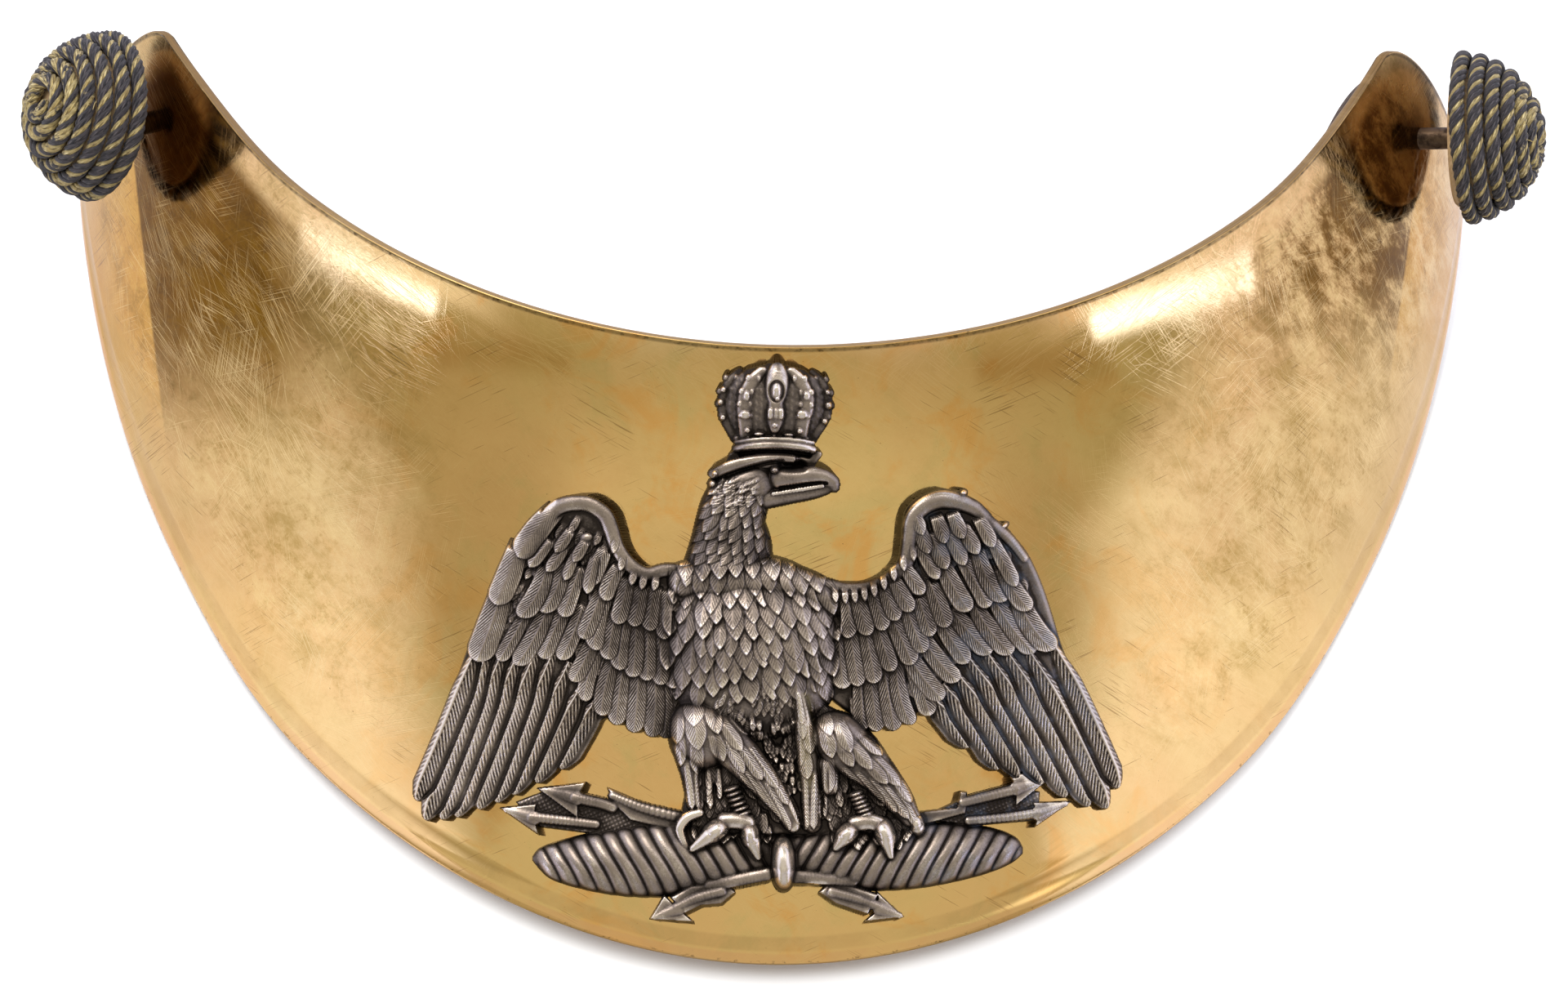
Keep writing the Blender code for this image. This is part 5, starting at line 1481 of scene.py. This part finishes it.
def make_legs():
    """Feathered thighs with long trousers of feathers, and the light column between them."""
    slab(((-9.6, -5.0), (-9.4, -9.0), (-8.2, -12.4), (-7.8, -16.6), (2.0, -17.4), (13.6, -16.8),
          (14.4, -14.2), (12.2, -10.4), (8.6, -6.2), (0.0, -3.0)), 1.5, 0.5)
    ground = RELIEF.copy()
    thicket(((-3.0, -5.6), (4.0, -5.6), (4.0, -12.0), (1.6, -13.0), (-0.6, -9.4)), ground + 0.5,
            lambda x: (0.1, -1.0), 150, 1.2, 0.2)
    thicket(((-7.8, -10.0), (-3.6, -10.0), (0.6, -15.6), (-0.6, -16.8), (-7.4, -16.6)),
            ground + 0.3, lambda x: (0.05, -1.0), 120, 2.0, 0.25)
    thicket(((5.0, -10.0), (9.0, -11.0), (13.6, -15.2), (13.0, -16.8), (5.4, -17.0)), ground + 0.3,
            lambda x: (0.25, -1.0), 120, 2.0, 0.25)
    dome((-6.9, -7.6), (3.2, 3.7), 4.3, 10, 0.4, 2.2, 0.3)
    roll(((-8.2, -9.0, 1.5, 3.3), (-7.9, -11.6, 0.9, 2.8), (-7.4, -14.6, 0.7, 2.4)), 0.2)
    roll(((-5.0, -7.5, 2.2, 4.0), (-2.8, -9.8, 1.9, 3.6), (-0.4, -12.4, 1.5, 3.2),
          (1.4, -14.8, 1.0, 2.9), (2.3, -16.4, 0.7, 2.6)), 0.2, squash=0.8)
    roll(((2.6, -3.4, 0.6, 3.6), (3.1, -6.4, 0.9, 3.4), (3.6, -9.0, 1.1, 3.2),
          (3.9, -12.0, 1.0, 2.9), (4.2, -16.2, 0.9, 2.5)), 0.1)
    dome((6.6, -8.0), (3.2, 2.8), 4.1, -30, 0.4, 2.2, 0.3)
    roll(((6.8, -8.6, 2.3, 3.9), (9.6, -10.4, 2.1, 3.6), (11.9, -12.8, 1.6, 3.1),
          (13.8, -15.4, 1.0, 2.7)), 0.2, squash=0.8)
    roll(((5.6, -10.4, 1.2, 3.1), (5.9, -12.6, 0.8, 2.8)), 0.2)
    base = RELIEF.copy()
    soft = {"sharp": 0.7, "barb": 0.022, "pitch": 0.4, "curl": 0.12, "lift": 0.36, "shaft": 0.05}
    long = {"sharp": 0.6, "barb": 0.05, "pitch": 0.36, "curl": 0.10, "lift": 0.34, "shaft": 0.12}
    column = {**long, "pitch": 0.34, "lift": 0.36}
    plumes(((0.8, -11.6, 3.2, -16.4, 0.9), (-0.5, -12.0, 2.0, -16.9, 1.0),
            (-1.8, -11.5, 1.0, -16.2, 1.0), (-2.8, -10.8, 0.0, -15.0, 1.0),
            (-3.8, -10.4, -1.4, -13.9, 1.0), (-0.8, -9.8, 1.8, -14.4, 1.1),
            (-2.2, -8.6, 0.8, -12.8, 1.2), (-3.4, -8.2, -0.8, -12.0, 1.2),
            (-4.6, -8.0, -2.6, -11.4, 1.2)), base,
           **long)
    plumes(((-8.3, -10.2, -7.6, -15.0, 0.9), (-7.2, -10.8, -6.8, -15.2, 0.9),
            (-6.2, -10.6, -5.8, -15.0, 0.8), (-5.2, -10.4, -4.9, -14.0, 0.7),
            (-4.9, -6.2, -2.8, -9.2, 1.5), (-4.0, -5.4, -1.9, -7.6, 1.3),
            (-5.8, -7.4, -4.6, -10.3, 1.6), (-8.9, -7.6, -8.8, -10.8, 1.2),
            (-7.4, -8.0, -7.1, -11.6, 1.5), (-9.2, -5.6, -9.2, -8.6, 1.5),
            (-7.7, -5.2, -7.1, -9.2, 2.2), (-6.0, -4.7, -5.2, -7.6, 1.8),
            (-7.6, -4.4, -7.6, -6.9, 2.6)), base,
           **soft)
    plumes(((12.4, -12.6, 14.5, -16.4, 1.0), (11.0, -12.2, 13.6, -15.6, 1.1),
            (9.6, -11.6, 12.4, -15.0, 1.1), (8.2, -11.0, 11.2, -14.4, 1.1),
            (6.9, -10.6, 9.6, -13.6, 1.1), (6.2, -10.8, 7.0, -14.6, 0.9)), base,
           **long)
    plumes(((11.4, -10.4, 13.9, -14.0, 1.2), (10.0, -9.4, 12.8, -12.4, 1.4),
            (8.6, -9.2, 11.5, -12.2, 1.4), (5.6, -9.6, 5.8, -13.2, 1.5),
            (7.4, -7.8, 9.9, -10.8, 1.5), (6.2, -7.6, 8.1, -10.6, 1.5),
            (8.4, -7.0, 10.9, -9.4, 1.4), (5.0, -6.4, 6.0, -9.8, 1.7),
            (6.4, -5.8, 7.8, -9.2, 1.7), (4.6, -4.2, 5.8, -7.6, 1.6)), base,
           **soft)
    plumes(((3.3, -11.2, 3.5, -16.9, 0.9), (4.4, -11.0, 4.3, -16.8, 0.9),
            (5.3, -10.6, 5.2, -15.8, 0.9), (3.1, -8.4, 3.6, -11.9, 1.6),
            (2.8, -7.2, 2.9, -10.6, 1.1), (3.5, -6.0, 3.9, -9.4, 1.4),
            (2.8, -4.6, 3.1, -8.0, 1.1), (2.5, -3.0, 3.0, -6.6, 0.8)), base,
           **column)


def make_feet():
    """Ringed shanks, and toes that grip the thunderbolt."""
    for start, end in (((-3.8, -12.9), (-2.4, -15.8)), ((8.4, -13.2), (9.6, -15.6))):
        for share in np.linspace(0, 1, 7):
            dome((start[0] + (end[0] - start[0]) * share, start[1] + (end[1] - start[1]) * share),
                 (0.85 + 0.12 * share, 0.32), 3.6 - 0.2 * share, 20, 1.4, 2.2, 0.03)
    toes = (
        # centre, half sizes, turn, top, claw tip
        ((-5.3, -17.0), (1.65, 1.15), 38, 4.2, (-7.5, -18.8)),
        ((-1.9, -17.4), (1.0, 1.5), 10, 4.1, (-1.1, -19.5)),
        ((7.6, -17.1), (1.45, 1.1), 45, 4.1, (6.5, -18.5)),
        ((11.3, -17.0), (1.15, 1.75), 22, 4.2, (11.9, -19.2)),
        ((14.4, -16.0), (0.8, 1.0), 10, 3.0, (14.7, -17.2)),
    )
    for centre, half, turn, top, claw in toes:
        roll(((centre[0] * 0.7 + claw[0] * 0.3, centre[1] * 0.7 + claw[1] * 0.3, 0.75, top - 0.3),
              (*claw, 0.34, top - 1.2)), 0.08)
        dome(centre, half, top, turn, 1.0, 2.3, 0.06)
    roll(((-6.9, -15.3, 0.45, 2.9), (-8.1, -15.8, 0.5, 3.0), (-8.8, -17.0, 0.45, 2.8),
          (-8.1, -18.7, 0.35, 2.3)), 0.06)
    roll(((-4.4, -16.0, 0.8, 3.4), (-3.0, -16.0, 0.85, 3.5), (-2.2, -16.2, 0.8, 3.5)), 0.1)
    roll(((8.4, -16.1, 0.8, 3.3), (9.7, -15.9, 0.85, 3.5), (10.6, -16.1, 0.8, 3.5)), 0.1)
    dome((1.4, -20.1), (1.35, 2.8), 4.0, 3, 0.3, 2.3, 0.05)


def blurred(field, weight, size):
    """Gaussian blur of the field over the covered grid."""
    reach = int(math.ceil(2.5 * size / GRID_STEP))
    kernel = np.exp(-0.5 * (np.arange(-reach, reach + 1) * GRID_STEP / size) ** 2)
    total = field * weight
    amount = weight.astype(float)
    for axis in (0, 1):
        made = [np.zeros_like(total), np.zeros_like(total)]
        for offset, share in zip(range(-reach, reach + 1), kernel):
            made[0] += share * np.roll(total, offset, axis)
            made[1] += share * np.roll(amount, offset, axis)
        total, amount = made
    return total / np.maximum(amount, 1e-6)


DARKENING = (
    # across, up, radius, amount of darkening; less than none makes it lighter
    (-29.0, -10.0, 6.0, -0.5), (27.0, -10.0, 6.5, -0.55), (-12.9, 7.0, 1.9, 1.0),
    (9.4, 6.6, 2.6, 0.9), (-14.6, 1.4, 3.4, 0.5), (14.0, 4.6, 3.4, 0.5), (12.4, -1.0, 3.0, 0.4),
    (-20.0, 10.5, 3.2, 0.9), (-23.0, 4.5, 2.6, 0.6), (-12.6, 4.5, 3.0, 0.8),
    (-10.4, 0.0, 3.0, 0.7), (-10.0, -6.0, 2.2, 0.9), (-16.0, -3.0, 2.5, 0.4),
    (-5.6, 12.6, 2.6, 0.6), (-2.4, 10.8, 2.4, 0.7), (-7.6, 9.0, 1.8, 0.7), (0.2, -8.0, 2.4, 0.8),
    (-2.0, -14.0, 2.6, 0.6), (9.0, -12.5, 2.6, 0.7), (16.0, 12.0, 3.0, 0.7),
    (22.0, 9.0, 3.4, 0.6), (8.6, 2.0, 3.0, 0.7), (19.0, 2.5, 3.0, 0.5), (10.5, -3.5, 2.6, 0.5),
    (-17.0, -15.5, 5.0, 0.5), (20.0, -14.6, 5.0, 0.6), (0.6, 18.4, 2.2, 0.8),
    (-3.4, 18.6, 1.8, 0.8), (0.0, 20.4, 2.4, 0.6), (-3.2, 20.4, 1.6, 0.5), (3.6, 18.0, 1.6, 0.4),
    (4.6, 25.0, 1.8, 0.4), (-4.6, 24.0, 1.6, 0.4), (-21.4, -15.2, 4.4, 0.5),
    (22.6, -13.6, 5.0, 0.5), (-6.0, -23.8, 3.0, 0.5), (8.0, -23.6, 3.0, 0.6),
    (4.0, -19.0, 2.4, 0.5), (-1.0, -18.6, 1.6, 0.5),
)


def cell_corners(field):
    """A field's values at the four corners of each cell of the grid."""
    return field[:-1, :-1], field[1:, :-1], field[:-1, 1:], field[1:, 1:]


def badge_piece(name, chosen, points, normals, fields, material):
    """The chosen cells of the relief as one mesh."""
    row_index, column_index = np.nonzero(chosen)
    columns = len(GRID_X)
    corner = row_index * columns + column_index
    faces = np.stack((corner, corner + 1, corner + columns + 1, corner + columns), -1)
    used, faces = np.unique(faces, return_inverse=True)
    values = {key: field.ravel()[used] for key, field in fields.items()}
    make_piece(name, points.reshape(-1, 3)[used], faces.reshape(-1, 4), material, "eagle_badge",
               values, normals.reshape(-1, 3)[used])


# Sizes of the blurs that tell raised detail from hollows, for the wear
FINE_DETAIL = 0.28
BROAD_DETAIL = 1.3
HOLLOW = 0.15


def make_badge():
    for make in (make_arrows, make_thunderbolt, make_left_wing, make_right_wing, make_body,
                 make_legs, make_feet, make_head, make_crown):
        make()
    covered = RELIEF > EMPTY + 0.02
    fine_gap = RELIEF - blurred(RELIEF, covered, FINE_DETAIL)
    broad_gap = RELIEF - blurred(RELIEF, covered, BROAD_DETAIL)
    wear = np.clip(0.47 + 2.6 * fine_gap + 0.34 * broad_gap, 0.0, 1.0)
    wear = np.where(RELIEF < HOLLOW, wear * 0.4, wear)
    gilding = (np.exp(-((GRID_X2 - 2.9 - 0.06 * (-GRID_Y2)) / 0.8) ** 2)
               * smooth_step(-GRID_Y2, 2.8, 4.0))
    tint = smooth_step(GRID_X2, 8.0, 22.0) - gilding * smooth_step(GRID_Y2, -15.0, -11.0)
    darkening = np.zeros_like(RELIEF)
    for x, y, radius, amount in DARKENING:
        darkening += amount * np.exp(-((GRID_X2 - x) ** 2 + (GRID_Y2 - y) ** 2) / radius ** 2)
    fields = {"wear": wear, "tint": tint, "darkening": np.clip(darkening, -1.0, 1.0), "stroke": STROKE,
              "fur": FUR}
    points = badge_to_plate(GRID_X2, GRID_Y2, RELIEF)
    normals = unit(np.cross(np.gradient(points, axis=1), np.gradient(points, axis=0)))

    # Every cell with relief at a corner, and relief at or right beside all four
    rim = covered.copy()
    for axis in (0, 1):
        for offset in (-1, 1):
            rim |= np.roll(covered, offset, axis)
    left = (np.logical_and.reduce(cell_corners(rim))
            & np.logical_or.reduce(cell_corners(covered)))
    x = 0.5 * (GRID_X[:-1] + GRID_X[1:])[None, :]
    y = 0.5 * (GRID_Y[:-1] + GRID_Y[1:])[:, None]
    material = silver_material()
    for name, region in (
            ("eagle_wing_left", (x < -10.0) & (y > -18.0) | (x < -23.2)),
            ("eagle_wing_right", (x > 9.6) & (y > -15.0)),
            ("eagle_body_and_crown", (x >= -10.0) & (x <= 9.6) & (y > -5.0)),
            ("eagle_legs_and_thunderbolt", np.ones_like(x, bool))):
        chosen = left & region
        left = left & ~region
        badge_piece(name, chosen, points, normals, fields, material)


# ---------------------------------------------------------------- stage, light and camera

FLOOR_HALF = 4.0


def make_floor():
    mesh = bpy.data.meshes.new("floor")
    corners = ((-1, -1), (1, -1), (1, 1), (-1, 1))
    mesh.from_pydata([(x * FLOOR_HALF, y * FLOOR_HALF, 0) for x, y in corners], [],
                     [(0, 1, 2, 3)])
    floor = new_object("floor", mesh)
    s = Shader("pale_floor")
    grain = s.noise(s.millimetres(), 0.02)
    colour = s.mix(grain, (0.90, 0.90, 0.90), (0.93, 0.93, 0.93))
    mesh.materials.append(s.finish({"Base Color": colour, "Roughness": 0.9}))
    floor.visible_glossy = False


def make_world():
    """Soft surroundings: azimuth from the front and elevation, in degrees, set the brightness."""
    world = bpy.data.worlds.new("soft_studio")
    bpy.context.scene.world = world
    world.use_nodes = True
    world.node_tree.nodes.clear()
    s = Nodes(world.node_tree)
    direction = s.put("TexCoord", output="Generated")
    x, y, z = (s.axis(direction, index) for index in range(3))
    azimuth = s.math("ARCTAN2", x, y * -1.0) * (180 / math.pi)
    elevation = s.math("ARCSINE", z) * (180 / math.pi)
    aside = s.math("ABSOLUTE", azimuth)

    def beam(start, end, half, soft):
        """1 near a line from start to end in (aside, elevation), 0 away from it."""
        dx, dy = end[0] - start[0], end[1] - start[1]
        x, y = aside - start[0], elevation - start[1]
        share = s.math("DIVIDE", x * dx + y * dy, dx * dx + dy * dy, clamp=True)
        gap_x, gap_y = x - share * dx, y - share * dy
        gap = s.math("SQRT", gap_x * gap_x + gap_y * gap_y)
        return s.steps(gap, half - soft, half + soft, 1.0, 0.0)

    def beyond(start, end, soft, across=aside):
        """1 on the left of the line from start to end in (aside, elevation), 0 on its right."""
        dx, dy = end[0] - start[0], end[1] - start[1]
        size = math.hypot(dx, dy)
        x, y = (across - start[0]) * (-dy / size), (elevation - start[1]) * (dx / size)
        return s.steps(x + y, -soft, soft)

    # Ahead and above: a dim room
    right = s.steps(azimuth, -5.0, 5.0)
    far = s.steps(aside, 36.0, 56.0, 0.0, 0.8) * s.steps(elevation, 20.0, 30.0)
    neck_front = s.steps(aside, 36.0, 18.0) * s.steps(elevation, 24.0, 20.0)
    bands = beam((40.0, 19.0), (61.0, 10.5), 1.8, 1.8) * 0.8
    colour = s.cover((0.46, 0.44, 0.34), (s.steps(elevation, 16.0, 42.0), (0.70, 0.68, 0.60)),
                     (far, (0.45, 0.42, 0.33)), (neck_front, (0.58, 0.58, 0.60)),
                     (bands, (0.36, 0.29, 0.17)))
    # Aside: pale walls
    low_side = s.mix(right, (1.04, 1.05, 1.18), (1.08, 1.09, 1.28))
    high_side = s.mix(right, (1.14, 1.20, 1.50), (1.14, 1.18, 1.45))
    side_colour = s.mix(s.steps(elevation, 1.0, 24.0), low_side, high_side)
    walls = 1.0 - beyond((85.0, -12.0), (71.0, 30.0), 6.0, right * 4.5 + aside)
    under = beam((26.0, 17.6), (54.0, 5.5), 2.0, 1.2) * 0.9
    below = beyond((99.0, -21.5), (57.0, 7.0), 0.9) * s.steps(aside, 46.0, 61.0)
    # The bright streaks that the neck flare mirrors
    streak = s.mix(right, beam((61.5, 5.0), (83.5, -10.8), 1.0, 0.9),
                   beam((58.5, 6.8), (84.0, -10.0), 1.3, 1.2))
    # Overhead: a ceiling, a soft box on each side and one at the top
    left_box = s.steps(azimuth, -76.0, -92.0) * s.steps(azimuth, -168.0, -150.0)
    right_box = s.steps(azimuth, 62.0, 74.0) * s.steps(azimuth, 128.0, 112.0)
    colour = s.cover(colour, (walls * s.steps(elevation, 46.0, 42.0), side_colour),
                     (under, s.mix(right, (0.62, 0.60, 0.58), (0.72, 0.70, 0.85))),
                     (below, (1.12, 1.12, 1.36)), (streak, (3.0, 3.5, 6.0)),
                     (s.steps(elevation, 42.0, 46.0), (0.66, 0.64, 0.56)),
                     (left_box * s.steps(elevation, 46.0, 54.0), (4.6, 4.5, 4.4)),
                     (right_box * s.steps(elevation, 46.0, 54.0), (1.7, 1.7, 1.75)),
                     (s.steps(elevation, 78.0, 86.0), (1.6, 1.6, 1.6)))
    background = s.put("Background", {"Color": colour, "Strength": 1.0})
    output = world.node_tree.nodes.new("ShaderNodeOutputWorld")
    s.feed(output.inputs["Surface"], background)


LAMP_DISTANCE = 1.5
LAMP_SIZE = 0.8


def make_lamp(name, azimuth, elevation, power):
    """A soft lamp that leaves no reflection of its own."""
    a, e = math.radians(azimuth), math.radians(elevation)
    lamp = bpy.data.lights.new(name, "AREA")
    lamp.shape = "DISK"
    lamp.size = LAMP_SIZE
    lamp.energy = power
    obj = new_object(name, lamp)
    back = Vector((math.sin(a) * math.cos(e), -math.cos(a) * math.cos(e), math.sin(e)))
    obj.location = back * LAMP_DISTANCE
    obj.rotation_euler = back.to_track_quat("Z", "Y").to_euler()
    obj.visible_glossy = False


CAMERA_DISTANCE = 2.2
CAMERA_AIM = (0.54, -14.48, 0.0)
CAMERA_YAW = math.radians(-1.2)
CAMERA_ROLL = math.radians(0.92)
FRAME_WIDTH = 0.1536


def make_camera():
    camera = bpy.data.cameras.new("camera")
    obj = new_object("camera", camera)
    turn = (Matrix.Rotation(TILT, 4, "X") @ Matrix.Rotation(CAMERA_YAW, 4, "Y")
            @ Matrix.Rotation(CAMERA_ROLL, 4, "Z"))
    aim = Vector(to_world(np.array(CAMERA_AIM)))
    back = turn.to_3x3() @ Vector((0.0, 0.0, CAMERA_DISTANCE))
    obj.matrix_world = Matrix.Translation(aim + back) @ turn
    camera.sensor_width = 36.0
    camera.lens = camera.sensor_width * CAMERA_DISTANCE / FRAME_WIDTH
    camera.clip_end = 20.0
    bpy.context.scene.camera = obj


make_camera()
make_world()
make_floor()
make_lamp("key", -30.0, 66.0, 9.0)
make_lamp("fill", 60.0, 60.0, 6.0)
make_plate()
make_lining()
make_buttons()
make_badge()

view = bpy.context.scene.view_settings
view.view_transform = "Standard"
view.look = "None"
